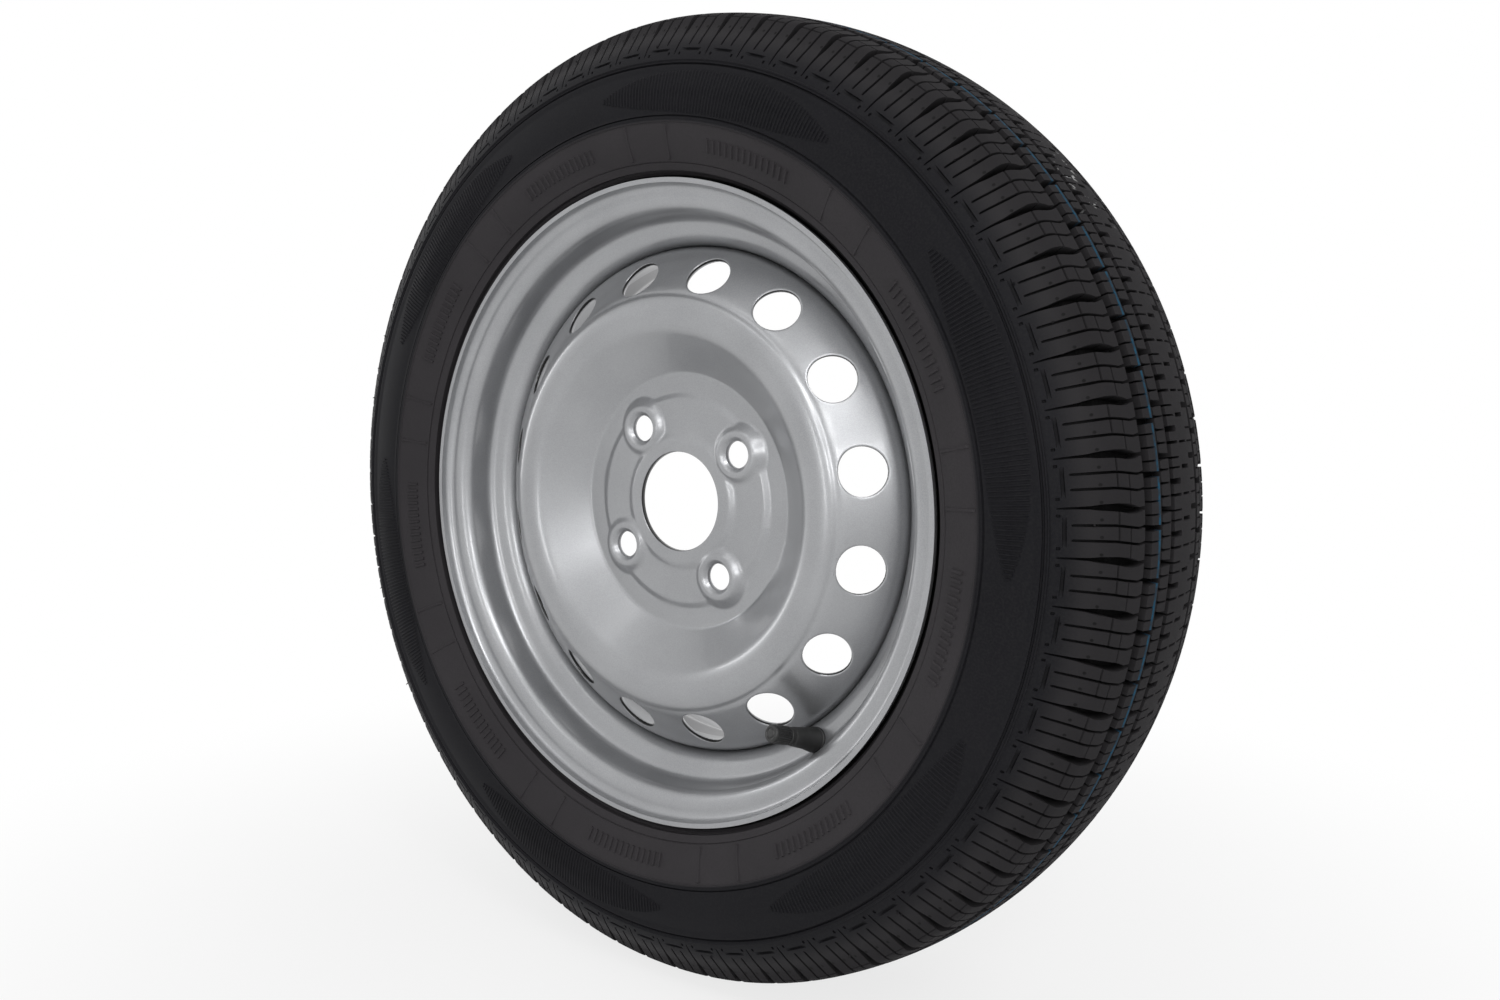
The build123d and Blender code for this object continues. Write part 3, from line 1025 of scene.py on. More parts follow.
    def _rods(self, radius: Array, angle: Array, half: float, roof_share: float, top: float, foot: float,
              sunk: float, side: Side) -> Skin:
        """Radial rods on a sidewall: each section is a low roof, which sinks at both ends of the rod.

        Args:
            radius: Radii along each rod, rods by rings by one.
            angle: Angle of each rod, rods by one by one.
            half: Half the width of a rod's foot, as an angle.
            roof_share: Width of the roof as a share of the foot's.
            top: Height of the roof.
            foot: Height of its feet, below the rubber.
            sunk: Height of the roof at the rod's ends.
            side: Which side of the tyre.

        Returns:
            All the rods.
        """
        across = np.array([-1.0, -roof_share, roof_share, 1.0]).reshape(1, 1, -1) * half
        roof = np.full((1, radius.shape[1], 1), top)
        roof[:, [0, -1]] = sunk
        height = np.concatenate([np.full_like(roof, foot), roof, roof, np.full_like(roof, foot)], axis=2)
        return Skin.rods(self._standing(*np.broadcast_arrays(radius, angle + across, height), side))

    def flutes(self, side: Side) -> Skin:
        """Panels of fine raised flutes: each panel is a row of radial rods that shorten towards its ends.

        Args:
            side: Which side of the tyre.

        Returns:
            All the rods.
        """
        per_panel = int(self.panel_span / self.flute_pitch)
        share = (np.arange(per_panel) + 0.5) / per_panel * 2 - 1
        starts = np.arange(self.panel_count) * 360 / self.panel_count + 15.0
        angle = np.radians(starts[:, None] + share * self.panel_span / 2).reshape(-1, 1, 1)
        reach = np.tile(1 - np.abs(share) ** 3, self.panel_count).reshape(-1, 1, 1)
        low, high = (self.flute_radius + sign * (self.flute_reach * reach + 1.0) for sign in (-1, 1))
        step = np.array([0.0, 0.06, 0.5, 0.94, 1.0]).reshape(1, -1, 1)
        radius = low + (high - low) * step
        return self._rods(radius, angle, 0.75 / self.flute_radius, 0.35, -0.1, -1.05, -0.9, side)

    def ticks(self, side: Side) -> Skin:
        """Raised ticks across the band by the rim, in pairs, and rows of short bars between the pairs.

        Args:
            side: Which side of the tyre.

        Returns:
            All the rods: each tick crosses the band, and each bar lies in the middle of it.
        """
        middle = np.radians(np.arange(self.tick_pairs) * 360 / self.tick_pairs + 7.0)
        row = 20.0 + (np.arange(self.bar_count) - (self.bar_count - 1) / 2) * 1.2
        turn = np.radians(np.concatenate([[-4.0, 4.0], row]))
        angle = (middle[:, None] + turn).reshape(-1, 1, 1)
        tick = np.tile(np.abs(turn) < np.radians(5), self.tick_pairs).reshape(-1, 1, 1)
        step = np.array([0.0, 0.05, 0.95, 1.0]).reshape(1, -1, 1)
        across, short = (low + (high - low) * step for low, high in (self.tick_span, self.bar_span))
        radius = np.where(tick, across, short)
        return self._rods(radius, angle, 1.0 / 195, 0.6, 0.9, -0.2, -0.1, side)

    def hairs(self, side: Side) -> Skin:
        """Moulding hairs: thin rods that stand out of the shoulder and the sidewall at seeded places.

        Args:
            side: Which side of the tyre.

        Returns:
            All the rods.
        """
        random = np.random.default_rng(7 + side.value)
        count = self.hair_count
        radius = random.uniform(*self.hair_radii, count)
        pitch = TURN / self.pitch_count
        angle = np.round(random.random(count) * self.pitch_count) * pitch + pitch * 0.31
        height = random.uniform(*self.hair_heights, count)
        ring = np.array([[-1, -1], [1, -1], [1, 1], [-1, 1]]) * self.hair_half
        level = np.array([-0.2, 0.5, 1.0])[None, :, None] * height[:, None, None]
        thin = np.array([1.2, 1.0, 0.6])[None, :, None]
        lean = np.array([0.0, 0.15, 0.7])[None, :, None] * random.uniform(-1, 1, count)[:, None, None]
        at = radius[:, None, None] + ring[None, None, :, 0] * thin
        turn = angle[:, None, None] + (ring[None, None, :, 1] * thin + lean) / at
        return Skin.rods(self._standing(*np.broadcast_arrays(at, turn, level), side))

    def build(self) -> None:
        """Makes and dresses all pieces of the tyre."""
        rubber = TyreRubber().material()
        make_piece("tyre_ribs", self.ribs(), rubber, replaces=["tyre"])
        for side in Side:
            tag = side.name.lower()
            make_piece(f"tyre_shoulder_{tag}", self.shoulder(side), rubber)
            make_piece(f"tyre_sidewall_{tag}", self.sidewall(side), rubber)
            make_piece(f"tyre_flutes_{tag}", self.flutes(side), rubber)
            make_piece(f"tyre_ticks_{tag}", self.ticks(side), rubber)
            make_piece(f"tyre_hairs_{tag}", self.hairs(side), rubber)


# Steel wheel


@dataclass
class Rim:
    """The rolled rim: one sheet with round bends, turned about the axis."""

    seat_radius: float = 164.7
    width: float = 114.3
    flange_height: float = 14.1
    flange_bend: float = 7.5
    lip_length: float = 1.9
    sheet: float = 2.6
    seat_angle: float = 5.0
    seat_length: float = 20.0
    well_depth: float = 16.0
    front_slope: float = 68.0
    rear_slope_length: float = 27.7
    heel_bend: float = 6.0
    seat_bend: float = 9.0
    well_bend: float = 9.0
    columns: int = 360

    def __post_init__(self) -> None:
        """Works out the corners of the skin on the tyre's side."""
        self.face = self.width / 2
        self.flange_radius = self.seat_radius + self.flange_height
        self.well_radius = self.seat_radius - self.well_depth
        self.seat_end = self.face - self.seat_length
        self.seat_end_radius = self.seat_radius - self.seat_length * np.tan(np.radians(self.seat_angle))
        rise = self.seat_end_radius - self.well_radius
        self.well_front = rise / np.tan(np.radians(self.front_slope)) - self.seat_end
        self.well_back = self.seat_end - self.rear_slope_length

    def section(self) -> Array:
        """The closed outline of the sheet: a path of rounded bends and its parallel, with softened cut edges.

        Returns:
            Radius and place along the axis.
        """
        lip = self.face + self.flange_bend + self.lip_length
        bend, heel, well = self.flange_bend - 0.01, self.heel_bend, self.well_bend
        skin = rounded((
            (self.flange_radius, -lip), (self.flange_radius, -self.face, bend),
            (self.seat_radius, -self.face, heel), (self.seat_end_radius, -self.seat_end, self.seat_bend),
            (self.well_radius, self.well_front, well), (self.well_radius, self.well_back, well),
            (self.seat_end_radius, self.seat_end, well), (self.seat_radius, self.face, heel),
            (self.flange_radius, self.face, bend), (self.flange_radius, lip)), 0.8)
        skin = filled(skin, 3.0)
        under = skin - left_normals(skin) * self.sheet * np.sign(self._turn(skin))
        return np.vstack([self._softened(skin), self._softened(under)[::-1]])

    def _turn(self, skin: Array) -> float:
        """Plus where the axis lies to the right of the path."""
        middle = len(skin) // 2
        return float(left_normals(skin)[middle, 0])

    @staticmethod
    def _softened(path: Array) -> Array:
        """The path less a third of a millimetre at both ends, which leaves a chamfer on the cut edge.

        Args:
            path: Points of one skin.

        Returns:
            The shorter path.
        """
        first, last = path[1] - path[0], path[-2] - path[-1]
        ends = path.copy()
        ends[0] += first / np.hypot(*first) * 0.35
        ends[-1] += last / np.hypot(*last) * 0.35
        return ends

    def build(self, paint: bpy.types.Material) -> None:
        """Makes and dresses the rim.

        Args:
            paint: Its finish.
        """
        section = self.section()
        angle = np.arange(self.columns) * TURN / self.columns
        points = wheel_points(section[:, :1], section[:, 1:], angle[None, :])
        skin = Skin.grid(points, rows_meet=True, columns_meet=True)
        make_piece("rim_sheet", skin, paint, replaces=["rim"], crease=50)


@dataclass
class WheelDisc:
    """The pressed disc: collar, ring and bolt bosses on the pad, bowl, crown, vented cone and outer band."""

    sheet: float = 3.4
    hub_face: float = 30.0
    bore_radius: float = 28.55
    collar_rise: float = 2.3
    collar_top: float = 35.8
    collar_foot: float = 40.2
    bolt_radius: float = 50.0
    bolt_count: int = 4
    bolt_hole: float = 7.6
    bolt_seat: float = 10.0
    seat_slope: float = 1.15
    seat_ring: float = 10.5
    seat_ring_depth: float = 1.8
    boss_height: float = 6.0
    boss_top: float = 12.5
    boss_foot: float = 18.7
    first_bolt_angle: float = 34.2
    plateau_height: float = 2.2
    plateau_top: float = 58.7
    plateau_foot: float = 62.6
    fillet: float = 1.5
    pad_radius: float = 75.0
    pad_bend: float = 4.0
    crown_radius: float = 107.0
    crown_offset: float = 58.77
    crown_bend: float = 14.0
    edge_radius: float = 142.6
    edge_offset: float = 28.9
    edge_bend: float = 8.5
    band_end: float = -10.9
    vent_radius: float = 12.8
    vent_place: float = 128.3
    vent_count: int = 16
    first_vent_angle: float = 10.2
    crease_depth: float = 0.5
    columns: int = 240
    bevel: float = 0.35
    inner_seam: float = 29.4
    outer_seam: float = 71.5

    def __post_init__(self) -> None:
        """Works out the sheet's middle line, its normals towards the front and the cone's straight run."""
        back = rounded((
            (self.bore_radius, -self.hub_face), (self.pad_radius, -self.hub_face, self.pad_bend),
            (self.crown_radius, -self.crown_offset, self.crown_bend),
            (self.edge_radius, -self.edge_offset, self.edge_bend), (self.edge_radius, self.band_end)), 0.4)
        back = filled(back, 0.8)
        normal = left_normals(back)
        normal = normal * -np.sign(normal[len(normal) // 4, 1])
        self.line = back + normal * self.sheet / 2
        self.normal = normal
        self.places = np.concatenate([[0.0], np.cumsum(np.hypot(*np.diff(self.line, axis=0).T))])
        self.step = TURN / self.columns
        straight = np.abs(np.diff(np.arctan2(*np.diff(self.line, axis=0).T))) < 1e-4
        radius = self.line[1:-1, 0]
        cone = np.flatnonzero(straight & (radius > self.crown_radius + 1) & (radius < self.edge_radius - 1.6))
        self.top, self.foot = self.places[cone[0] + 1], self.places[cone[-1] + 1]

    def _along(self, place: Array) -> tuple[Array, Array, Array, Array]:
        """Radius, offset and normal of the middle line at places."""
        return tuple(np.interp(place, self.places, column) for column in (*self.line.T, *self.normal.T))

    @staticmethod
    def _ramp(place: Array, foot: float, top: float, soft: float = 0.4) -> Array:
        """Rise from 0 at a foot to 1 at a top inside it, with corners rounded by a hyperbola.

        Args:
            place: Distances from the middle.
            foot: Where the rise starts.
            top: Where it ends.
            soft: Width of the rounding.

        Returns:
            Shares of the height.
        """
        inside, run = foot - place, foot - top
        start, end = (0.5 * (part + np.hypot(part, soft)) for part in (inside, inside - run))
        return (start - end) / run

    def relief(self, radius: Array, angle: Array) -> Array:
        """Height pressed out of the pad: a ring with a collar, and a cone with a flat top round each bolt.

        Where ring and cone meet, the higher of the two holds, and a small fillet fills the corner.

        Args:
            radius: Radii.
            angle: Angles in radians.

        Returns:
            Heights over the hub face.
        """
        sector = TURN / self.bolt_count
        turn = (angle - np.radians(self.first_bolt_angle) + sector / 2) % sector - sector / 2
        apart = np.hypot(radius * np.cos(turn) - self.bolt_radius, radius * np.sin(turn))
        ring = self.plateau_height * self._ramp(radius, self.plateau_foot, self.plateau_top)
        ring = ring + self.collar_rise * self._ramp(radius, self.collar_foot, self.collar_top)
        boss = self.boss_height * self._ramp(apart, self.boss_foot, self.boss_top)
        corner = np.clip(self.fillet - np.abs(ring - boss), 0, None) ** 2 / (4 * self.fillet)
        return np.maximum(ring, boss) + corner * np.clip(np.minimum(ring, boss), 0, 1)

    def crease(self, place: Array) -> Array:
        """Depth of the fine groove pressed round the crown where the cone starts: a bell over the place."""
        return self.crease_depth * np.exp(-((place - self.top + 1.6) / 1.9) ** 2)

    def points(self, place: Array, angle: Array, through: Array | float, lift: Array | float = 0.0) -> Array:
        """Points of the sheet.

        Args:
            place: Places along the middle line.
            angle: Angles in radians.
            through: 1 on the front skin, -1 on the back skin and between them inside the sheet.
            lift: Further move towards the hub.

        Returns:
            The points.
        """
        radius, offset, out, ahead = self._along(place)
        reach = through * self.sheet / 2 - self.crease(place)
        along = offset + reach * ahead - self.relief(radius, angle) + lift
        return wheel_points(radius + reach * out, along, angle)

    def _ring(self, first: float, last: float, shift: tuple[float, float], step: float) -> list[Skin]:
        """Both skins of a ring without holes.

        Args:
            first: Place where it starts.
            last: Place where it ends.
            shift: Angle of the first column at its start and at its end.
            step: Spacing of the rows.

        Returns:
            The front and the back skin.
        """
        place = np.linspace(first, last, max(2, int((last - first) / step) + 1))[:, None]
        start = np.interp(place, [first, last], shift)
        angle = start + np.arange(self.columns)[None, :] * self.step
        place = place * np.ones_like(angle)
        return [Skin.grid(self.points(place, angle, side), columns_meet=True) for side in (1, -1)]

    def _edge(self, place: float, inward: float, start: float) -> Skin:
        """The cut edge of the sheet at one end of the middle line, with a bevel on both sides.

        Args:
            place: Place of the end.
            inward: Sign of the way into the sheet.
            start: Angle of the first column.

        Returns:
            The edge between the two skins.
        """
        angle = start + np.arange(self.columns)[None, :] * self.step
        rows = np.array([[inward], [0.0], [0.0], [inward]]) * self.bevel + place
        through = np.array([[1.0], [0.75], [-0.75], [-1.0]])
        return Skin.grid(self.points(rows * np.ones_like(angle), angle, through), columns_meet=True)

    @staticmethod
    def _fan(outline: Array, radii: Sequence[float], blends: Sequence[float]) -> Array:
        """Rings from a round hole at the origin out to a closed outline.

        Args:
            outline: Points of the outline.
            radii: Radii of the round rings.
            blends: Shares of the way from the last round ring to the outline.

        Returns:
            Rings by points by two.
        """
        direction = outline / np.hypot(*outline.T)[:, None]
        round_rings = np.array(radii)[:, None, None] * direction
        share = np.array(blends)[:, None, None]
        return np.concatenate([round_rings, round_rings[-1:] * (1 - share) + outline * share])

    @staticmethod
    def _border(turn: Array, low: float, high: float, rows: int) -> Array:
        """The closed border of a sector: one end, one side, the other end and back along the other side.

        Args:
            turn: Angles along both ends.
            low: Where the sector starts.
            high: Where it ends.
            rows: Number of points along a side, with both corners.

        Returns:
            Place and angle of each point.
        """
        rise = np.linspace(low, high, rows)[1:-1]
        side = np.full_like(rise, turn[-1])
        first, last = np.full_like(turn, low), np.full_like(turn, high)
        return np.hstack([(first, turn), (rise, side), (last, turn[::-1]), (rise[::-1], -side)]).T

    def _bolt(self, index: int, first: float, last: float) -> list[Skin]:
        """The quarter of the pad round one bolt hole: coned seat in front, thick boss behind.

        Args:
            index: Which bolt.
            first: Place where the quarter starts.
            last: Place where it ends.

        Returns:
            Front skin, back skin and wall of the hole.
        """
        middle = np.radians(self.first_bolt_angle) + index * TURN / self.bolt_count
        turn = np.arange(-self.columns // 8, self.columns // 8 + 1) * self.step
        low, high = self._along(np.array([first, last]))[0]
        radius, bearing = self._border(turn, low, high, 21).T
        outline = np.stack([radius * np.cos(bearing) - self.bolt_radius, radius * np.sin(bearing)], axis=1)
        hole, seat, ring = self.bolt_hole, self.bolt_seat, self.seat_ring
        inner = self.line[:, 0][self.places <= last + 1]

        def skin(radii: Sequence[float], blends: int, through: float) -> Array:
            """Rings of one skin from the hole out to the quarter's outline.

            Args:
                radii: Radii of the round rings.
                blends: Number of rings from the last round one to the outline.
                through: 1 for the front skin and -1 for the back one.

            Returns:
                Grid of points, rings by columns.
            """
            flat = self._fan(outline, radii, tuple(np.linspace(0, 1, blends + 1)[1:]))
            apart = np.hypot(*np.moveaxis(flat, -1, 0))
            x, z = flat[..., 0] + self.bolt_radius, flat[..., 1]
            place = np.interp(np.hypot(x, z), inner, self.places[:len(inner)])
            cone = np.clip(seat - apart, 0, None) * self.seat_slope
            cone = cone + np.clip(seat + 0.5 - apart, 0, 0.5) * 0.4
            thick = self.seat_ring_depth * np.clip((ring + 0.6 - apart) / 0.6, 0, 1)
            return self.points(place, middle + np.arctan2(z, x), through, cone if through > 0 else thick)

        flank = tuple(np.linspace(self.boss_top - 1.2, self.boss_foot + 0.7, 10))
        front = skin((hole, hole + 0.3, (hole + seat) / 2, seat, seat + 0.5, *flank), 36, 1)
        rear = skin((hole, hole + 0.3, ring, ring + 0.6, *flank[1::2]), 12, -1)
        wall = np.stack([front[0], rear[0]])
        return [Skin.grid(grid, columns_meet=True) for grid in (front, rear, wall)]

    def _vent(self, index: int, first: float, last: float) -> list[Skin]:
        """The part of the cone round one vent hole, which is rolled in front and flared behind.

        Args:
            index: Which vent.
            first: Place where the cone's straight run starts.
            last: Place where it ends.

        Returns:
            Front skin, back skin and wall of the hole.
        """
        outside = len(self.line) // 2
        centre = float(np.interp(self.vent_place, self.line[outside:, 0], self.places[outside:]))
        middle = np.radians(self.first_vent_angle) + index * TURN / self.vent_count
        half = self.columns // self.vent_count / 2
        turn = (np.arange(2 * half + 1) - half) * self.step
        along, bearing = self._border(turn, first, last, 13).T
        outline = np.stack([along - centre, self._along(along)[0] * bearing], axis=1)
        hole = self.vent_radius
        flat = self._fan(outline, (hole, hole + 0.15, hole + 0.55, hole + 1.2), (0.34, 0.67, 1.0))
        place = centre + flat[..., 0]
        angle = middle + flat[..., 1] / self._along(place)[0]
        front, rear = self.points(place[2:], angle[2:], 1), self.points(place[3:], angle[3:], -1)
        through = np.array([0.88, 0.65, 0.1, -0.6])[:, None]
        rows = [1, 0, 0, 2]
        wall = self.points(place[rows], angle[rows], through)
        wall = np.concatenate([front[:1], wall, rear[:1]])
        return [Skin.grid(grid, columns_meet=True) for grid in (front, rear, wall)]

    def build(self, paint: bpy.types.Material) -> None:
        """Makes and dresses the disc.

        Args:
            paint: Its finish.
        """
        inner, outer = (self.places[np.argmax(self.line[:, 0] > seam)]
                        for seam in (self.inner_seam, self.outer_seam))
        top, foot = self.top, self.foot
        end = self.places[-1]
        bolts = np.radians(self.first_bolt_angle) - TURN / self.bolt_count / 2
        vents = np.radians(self.first_vent_angle) - TURN / self.vent_count / 2
        vents = bolts + (vents - bolts) % self.step
        skins = [self._edge(0.0, 1.0, bolts), self._edge(end, -1.0, vents)]
        skins += self._ring(self.bevel, inner, (bolts, bolts), 0.4)
        skins += self._ring(outer, top - 4, (bolts, vents), 1.6)
        skins += self._ring(top - 4, top, (vents, vents), 0.45)
        skins += self._ring(foot, end - self.bevel, (vents, vents), 1.2)
        for index in range(self.bolt_count):
            skins += self._bolt(index, inner, outer)
        for index in range(self.vent_count):
            skins += self._vent(index, top, foot)
        sheet = Skin.joined(skins)
        make_piece("disc_sheet", sheet, paint, replaces=["wheel_disc"], crease=42)


# Valve


@dataclass
class Valve:
    """The snap-in valve on the rim's front wall: rubber body, threaded stem and ribbed cap."""

    angle: float = -52.3
    grip_gap: float = 0.3
    bulb_radius: float = 7.5
    bulb_height: float = 7.5
    neck_radius: float = 5.6
    barb_radius: float = 6.9
    barb_height: float = 19.0
    rubber_radius: float = 4.9
    rubber_height: float = 22.0
    shank_radius: float = 3.2
    stem_radius: float = 3.85
    stem_height: float = 31.0
    stem_bore: float = 2.6
    thread_pitch: float = 0.794
    thread_depth: float = 0.4
    cap_foot: float = 22.25
    cap_height: float = 11.6
    cap_radius: float = 4.9
    cap_top_radius: float = 4.4
    cap_bore: float = 4.15
    cap_roof: float = 1.6
    rib_count: int = 26
    rib_depth: float = 0.32

    def place(self, rim: Rim) -> None:
        """Sets the valve's origin and axes on the outer skin of the well's front wall, along its normal.

        Args:
            rim: The rim that it stands on.
        """
        slope, turn = np.radians(rim.front_slope), np.radians(self.angle)
        out = np.array([-np.cos(slope), -np.sin(slope)])
        middle = np.array([rim.seat_end_radius + rim.well_radius, rim.well_front - rim.seat_end]) / 2
        self.sheet = rim.sheet
        radius, along = middle + rim.sheet * out
        self.origin = wheel_points(radius, along, turn)
        self.axis = wheel_points(out[0], out[1], turn)
        self.across = np.array([-np.sin(turn), 0.0, np.cos(turn)])
        self.beside = np.cross(self.axis, self.across)

    def turned(self, radius: Array, height: Array, angle: Array) -> Array:
        """Points round the valve's axis from radius, height and angle.

        Args:
            radius: Radii about the axis.
            height: Heights along it.
            angle: Angles in radians.

        Returns:
            The points.
        """
        spread = [radius * np.cos(angle), radius * np.sin(angle), height]
        x, y, z = (part[..., None] for part in np.broadcast_arrays(*spread))
        return self.origin + x * self.across + y * self.beside + z * self.axis

    def _lathe(self, profile: Path2, columns: int = 64, step: float = 0.6) -> Skin:
        """A closed profile of radius and height with rounded corners, turned about the axis.

        Args:
            profile: Corners with an optional radius.
            columns: Number of columns round the axis.
            step: Longest run along the profile.

        Returns:
            The closed surface.
        """
        path = filled(rounded((*profile, profile[0])), step)[:-1]
        angle = np.arange(columns)[None, :] * TURN / columns
        return Skin.grid(self.turned(path[:, :1], path[:, 1:], angle), rows_meet=True, columns_meet=True)

    def body(self) -> Skin:
        """Rubber moulding: bulb behind the sheet, neck in the hole, tapered barb and a plain sleeve.

        Returns:
            The closed moulding.
        """
        back = -self.sheet - self.grip_gap
        foot = back - self.bulb_height
        inner = self.shank_radius + 0.05
        barb, sleeve = self.barb_radius, self.rubber_radius
        return self._lathe((
            (inner, foot), (self.bulb_radius - 1.9, foot, 0.8), (self.bulb_radius, back - 1.9, 1.2),
            (self.bulb_radius, back, 0.3), (self.neck_radius, back), (self.neck_radius, self.grip_gap),
            (barb, self.grip_gap, 0.2), (barb, 1.4, 0.2), (barb - 0.4, 1.7, 0.2), (barb - 0.4, 2.1, 0.2),
            (barb - 0.1, 2.5, 0.2), (barb - 0.1, 3.4, 0.6), (sleeve + 0.75, 9.0, 9.0),
            (sleeve + 0.15, self.barb_height - 0.6, 1.0), (sleeve - 0.15, self.barb_height, 0.6),
            (sleeve - 0.15, self.rubber_height, 0.4), (inner, self.rubber_height)))

    def stem(self) -> Skin:
        """Threaded stem: the thread is a triangle wave of height less one pitch per turn; the bore is plain.

        Returns:
            The closed sleeve.
        """
        foot, top = -self.sheet - self.grip_gap - self.bulb_height, self.stem_height
        collar = self.rubber_height + 0.05
        height = np.concatenate([[foot, collar - 0.02], np.arange(collar, top - 0.3, 0.1), [top - 0.3, top]])
        bore = np.array([top, top - 0.3, 16.5, 15.0, foot])
        radius = np.where(height < collar, self.shank_radius, self.stem_radius)
        inner = np.array([self.stem_bore, self.stem_bore, self.stem_bore, 2.1, 1.3])
        angle = np.arange(48)[None, :] * TURN / 48
        wave = np.abs(((height[:, None] / self.thread_pitch - angle / TURN) % 1) * 2 - 1)
        fade = np.clip((height - collar - 0.6) / 0.5, 0, 1) * np.clip((top - 0.2 - height) / 0.4, 0, 1)
        outer = radius[:, None] - self.thread_depth * wave * fade[:, None]
        outer[-1] -= 0.3
        sleeve = np.concatenate([outer, inner[:, None] * np.ones_like(angle)])
        levels = np.concatenate([height, bore])[:, None]
        return Skin.grid(self.turned(sleeve, levels, angle), rows_meet=True, columns_meet=True)

    def cap(self) -> Skin:
        """Screw cap: ribs are a cosine round the skirt that fades towards both ends, and the top has a ring.

        Returns:
            The closed cap.
        """
        foot, top = self.cap_foot, self.cap_foot + self.cap_height
        roof = top - self.cap_roof
        path = filled(rounded((
            (0.02, top - 0.05), (2.1, top - 0.05, 0.4), (2.4, top - 0.5, 0.1), (2.9, top - 0.5, 0.1),
            (3.2, top, 0.3), (self.cap_top_radius, top, 1.2), (self.cap_radius, roof, 1.0),
            (self.cap_radius, foot, 0.3), (self.cap_bore, foot, 0.2), (self.cap_bore, roof, 0.3),
            (0.02, roof)), 0.2), 0.7)
        angle = np.arange(208)[None, :] * TURN / 208
        height = path[:, 1]
        skirt = np.clip((height - foot - 0.4) / 0.6, 0, 1) * np.clip((roof - 0.6 - height) / 1.2, 0, 1)
        skirt = skirt * (path[:, 0] > self.cap_bore + 0.3)
        ribs = self.rib_depth * (0.5 + 0.5 * np.cos(self.rib_count * angle)) ** 2
        points = self.turned(path[:, :1] - skirt[:, None] * ribs, path[:, 1:], angle)
        points[0] = self.origin + self.axis * path[0, 1]
        points[-1] = self.origin + self.axis * path[-1, 1]
        return Skin.joined([Skin.grid(points, columns_meet=True)])

    def build(self, rim: Rim, nodes: dict[str, bpy.types.Object]) -> None:
        """Makes the valve's pieces and dresses the solids inside it.

        Args:
            rim: The rim that it stands on.
            nodes: Solids of the frame by name.
        """
        self.place(rim)
        rubber = Moulding("valve_rubber", grey(0.013), 0.5, 1500.0).material()
        plastic = Moulding("cap_plastic", grey(0.012), 0.36, 900.0).material()
        seal = Moulding("seal_rubber", grey(0.02), 0.6, 1800.0).material()
        brass = BareMetal("stem_brass", (0.74, 0.53, 0.24, 1), (0.55, 0.37, 0.15, 1), 0.24).material()
        steel = BareMetal("spring_steel", grey(0.55), grey(0.4), 0.28).material()
        for name, skin, finish, slot, body, solid, crease in (
                ("valve_rubber_body", self.body(), rubber, "valve_rubber", Body.WHEEL, "valve_body", 50),
                ("valve_threaded_stem", self.stem(), brass, "stem_brass", Body.WHEEL, "valve_stem", 50),
                ("valve_ribbed_cap", self.cap(), plastic, "cap_plastic", Body.CAP, "valve_cap", 60)):
            make_piece(name, skin, finish, body, [solid], crease)
        finishes = {"core_plug": brass, "core_barrel": brass, "core_pin": brass, "core_cup": brass,
                    "core_gasket": seal, "core_washer": seal, "cap_seal": seal, "core_spring": steel}
        for name, finish in finishes.items():
            dress(nodes[name], finish)


# Studio


@dataclass(frozen=True)
class Lamp:
    """A soft lamp: its place in metres, its width and height, and its power in watts."""

    name: str
    place: tuple[float, float, float]
    size: tuple[float, float]
    power: float

    def build(self) -> None:
        """Puts the lamp where it looks at the wheel and the camera does not see it."""
        data = bpy.data.lights.new(self.name, "AREA")
        data.shape, data.size, data.size_y, data.energy = "RECTANGLE", *self.size, self.power
        lamp = bpy.data.objects.new(self.name, data)
        lamp.location = self.place
        lamp.rotation_euler = (-lamp.location).to_track_quat("-Z", "Y").to_euler()
        lamp.visible_camera = False
        bpy.context.scene.collection.objects.link(lamp)


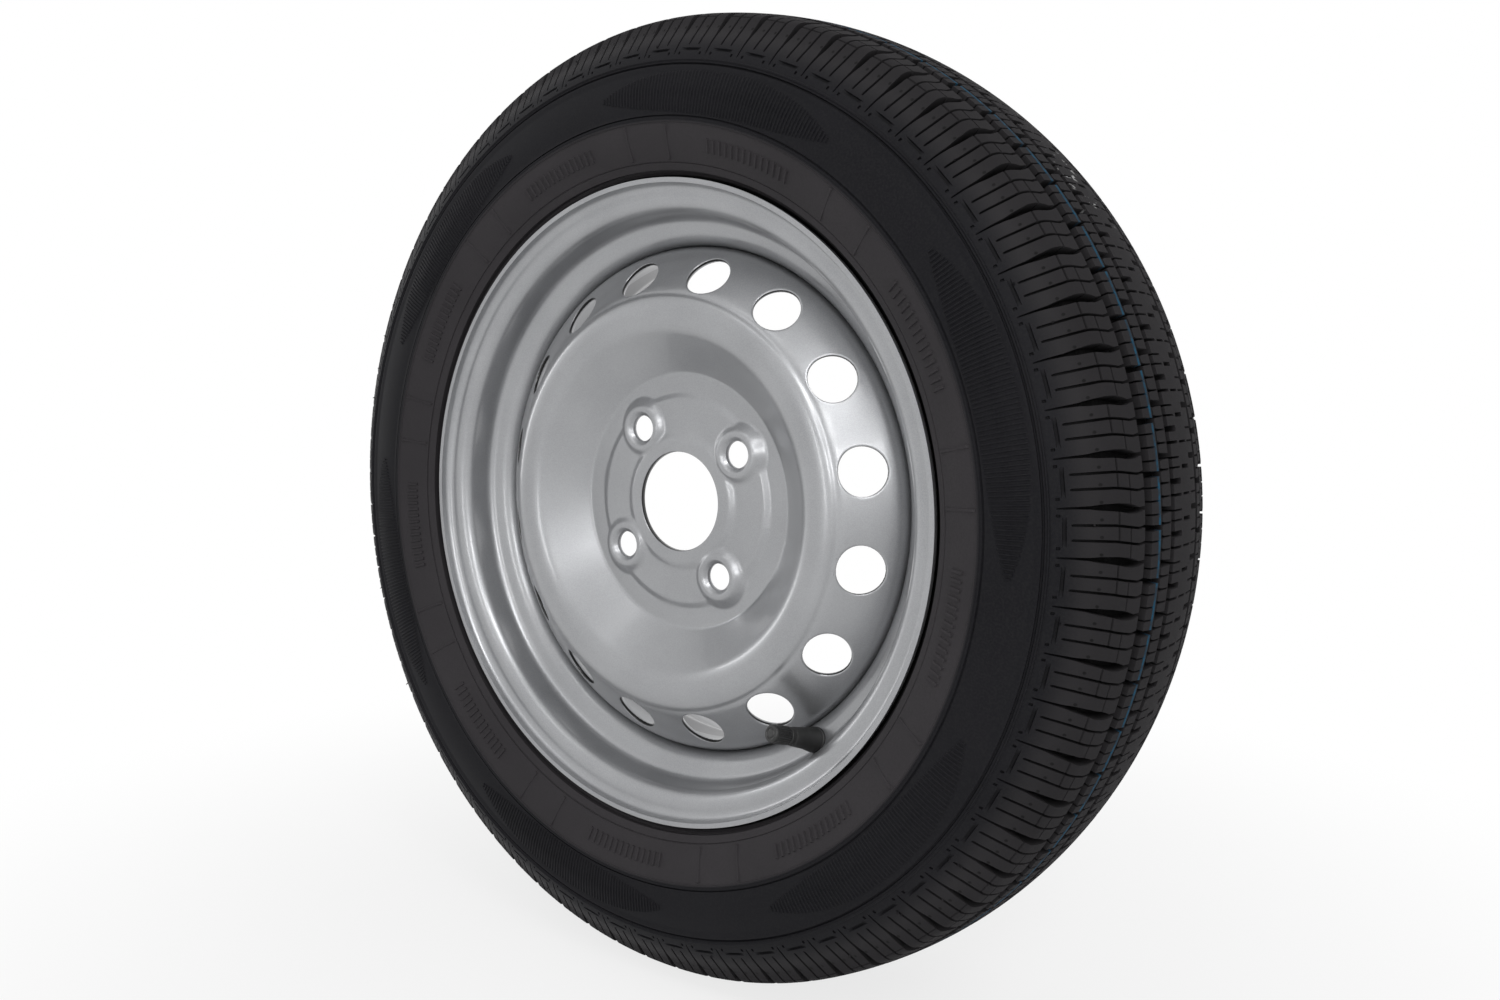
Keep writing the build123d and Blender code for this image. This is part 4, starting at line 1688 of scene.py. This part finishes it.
@dataclass
class Studio:
    """White floor and surround, soft lamps and the camera."""

    floor_level: float = -0.2735
    floor_reach: float = 12.0
    azimuth: float = 36.57
    elevation: float = 3.55
    lens: float = 27.463
    position: tuple[float, float, float] = (0.42497, -0.53861, 0.06359)
    centre_shift: tuple[float, float] = (-0.00213, -0.0257)
    room_levels: tuple[float, float] = (0.1, 0.62)
    white_near: float = 0.78
    white_reach: tuple[float, float] = (0.2, 0.7)
    lamps: tuple[Lamp, ...] = (
        Lamp("lamp_above_right", (1.3, -1.0, 1.5), (0.6, 0.6), 10.0),
        Lamp("lamp_above", (0.0, -1.1, 1.6), (0.8, 0.3), 1.2),
        Lamp("lamp_left", (-1.8, -0.5, 0.3), (0.2, 0.8), 2.4),
        Lamp("lamp_by_camera", (1.15, -1.1, 0.35), (0.3, 0.3), 2.6),
        Lamp("lamp_over_camera", (0.95, -1.25, 0.75), (0.3, 0.3), 2.0),
        Lamp("lamp_front", (0.3, -1.7, 0.2), (0.14, 0.7), 2.2),
    )

    def camera(self) -> None:
        """Camera at the place and angle found for the photograph."""
        data = bpy.data.cameras.new("camera")
        data.lens, data.sensor_width = self.lens, 36.0
        data.shift_x, data.shift_y = self.centre_shift
        data.clip_start = 0.01
        eye = bpy.data.objects.new("camera", data)
        eye.location = self.position
        eye.rotation_euler = (np.radians(90 - self.elevation), 0, np.radians(self.azimuth))
        bpy.context.scene.collection.objects.link(eye)
        bpy.context.scene.camera = eye

    def world(self) -> None:
        """A white surround, which the camera and the metal see, and a greyer room for matt light."""
        world = bpy.data.worlds.new("studio")
        bpy.context.scene.world = world
        g = Graph(world)
        up = g.term("ShaderNodeSeparateXYZ", None, {0: g.term("ShaderNodeTexCoord", output="Generated")}, 2)
        room = g.mix(up.rise(-0.2, 0.9), *map(grey, self.room_levels))
        seen = g.mix(self._shown(g), room, grey(1.0))
        shade = g.node("ShaderNodeBackground", None, {"Color": seen, "Strength": 1.0})
        g.node("ShaderNodeOutputWorld", None, {"Surface": shade.outputs[0]})

    @staticmethod
    def _shown(g: Graph) -> Term:
        """One for rays of the camera and for those that metal and glass send on.

        Args:
            g: Graph that the nodes go into.

        Returns:
            The share.
        """
        path = g.node("ShaderNodeLightPath")
        camera, glossy, clear = (Term(g, path.outputs[f"Is {kind} Ray"])
                                 for kind in ("Camera", "Glossy", "Transmission"))
        return g.math("MAXIMUM", camera, g.math("MAXIMUM", glossy, clear))

    def floor(self) -> None:
        """White floor that keeps the shadow near the wheel and fades into the surround."""
        reach = self.floor_reach
        share = np.linspace(-1, 1, 41)
        x, y = np.meshgrid(share * reach, share * reach)
        mesh = bpy.data.meshes.new("floor")
        skin = Skin.grid(np.stack([x, y, np.full_like(x, self.floor_level)], axis=-1))
        mesh.from_pydata(skin.points, [], skin.loops())
        made = bpy.data.materials.new("floor")
        g = Graph(made)
        split = g.node("ShaderNodeSeparateXYZ", None, {0: g.place()})
        x, y, _ = (Term(g, socket) for socket in split.outputs)
        far = g.math("SQRT", x * x + y * y).rise(*self.white_reach)
        tone = g.mix(g.noise(3, 2) * 0.2, grey(0.86), grey(0.82))
        matt = g.node("ShaderNodeBsdfDiffuse", None, {"Color": tone})
        glow = g.node("ShaderNodeEmission", None, {"Color": grey(1.0), "Strength": 1.0})
        white = self._shown(g) * (self.white_near + far * (1 - self.white_near))
        both = g.node("ShaderNodeMixShader", None, {0: white, 1: matt.outputs[0], 2: glow.outputs[0]})
        g.node("ShaderNodeOutputMaterial", None, {"Surface": both.outputs[0]})
        mesh.materials.append(made)
        floor = bpy.data.objects.new("floor", mesh)
        bpy.context.scene.collection.objects.link(floor)

    def build(self) -> None:
        """Sets up the camera, the surround, the floor and the lamps."""
        self.camera()
        self.world()
        self.floor()
        for lamp in self.lamps:
            lamp.build()
        bpy.context.scene.view_settings.view_transform = "Standard"


def main() -> None:
    logging.basicConfig(level=logging.INFO, format="%(name)s %(message)s")
    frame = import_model()
    Studio().build()
    paint = SilverPaint().material()
    rim = Rim()
    Tyre().build()
    rim.build(paint)
    WheelDisc().build(paint)
    Valve().build(rim, frame["nodes"])
    dress(frame["nodes"]["disc_welds"], paint)


if __name__ == "__main__":
    main()
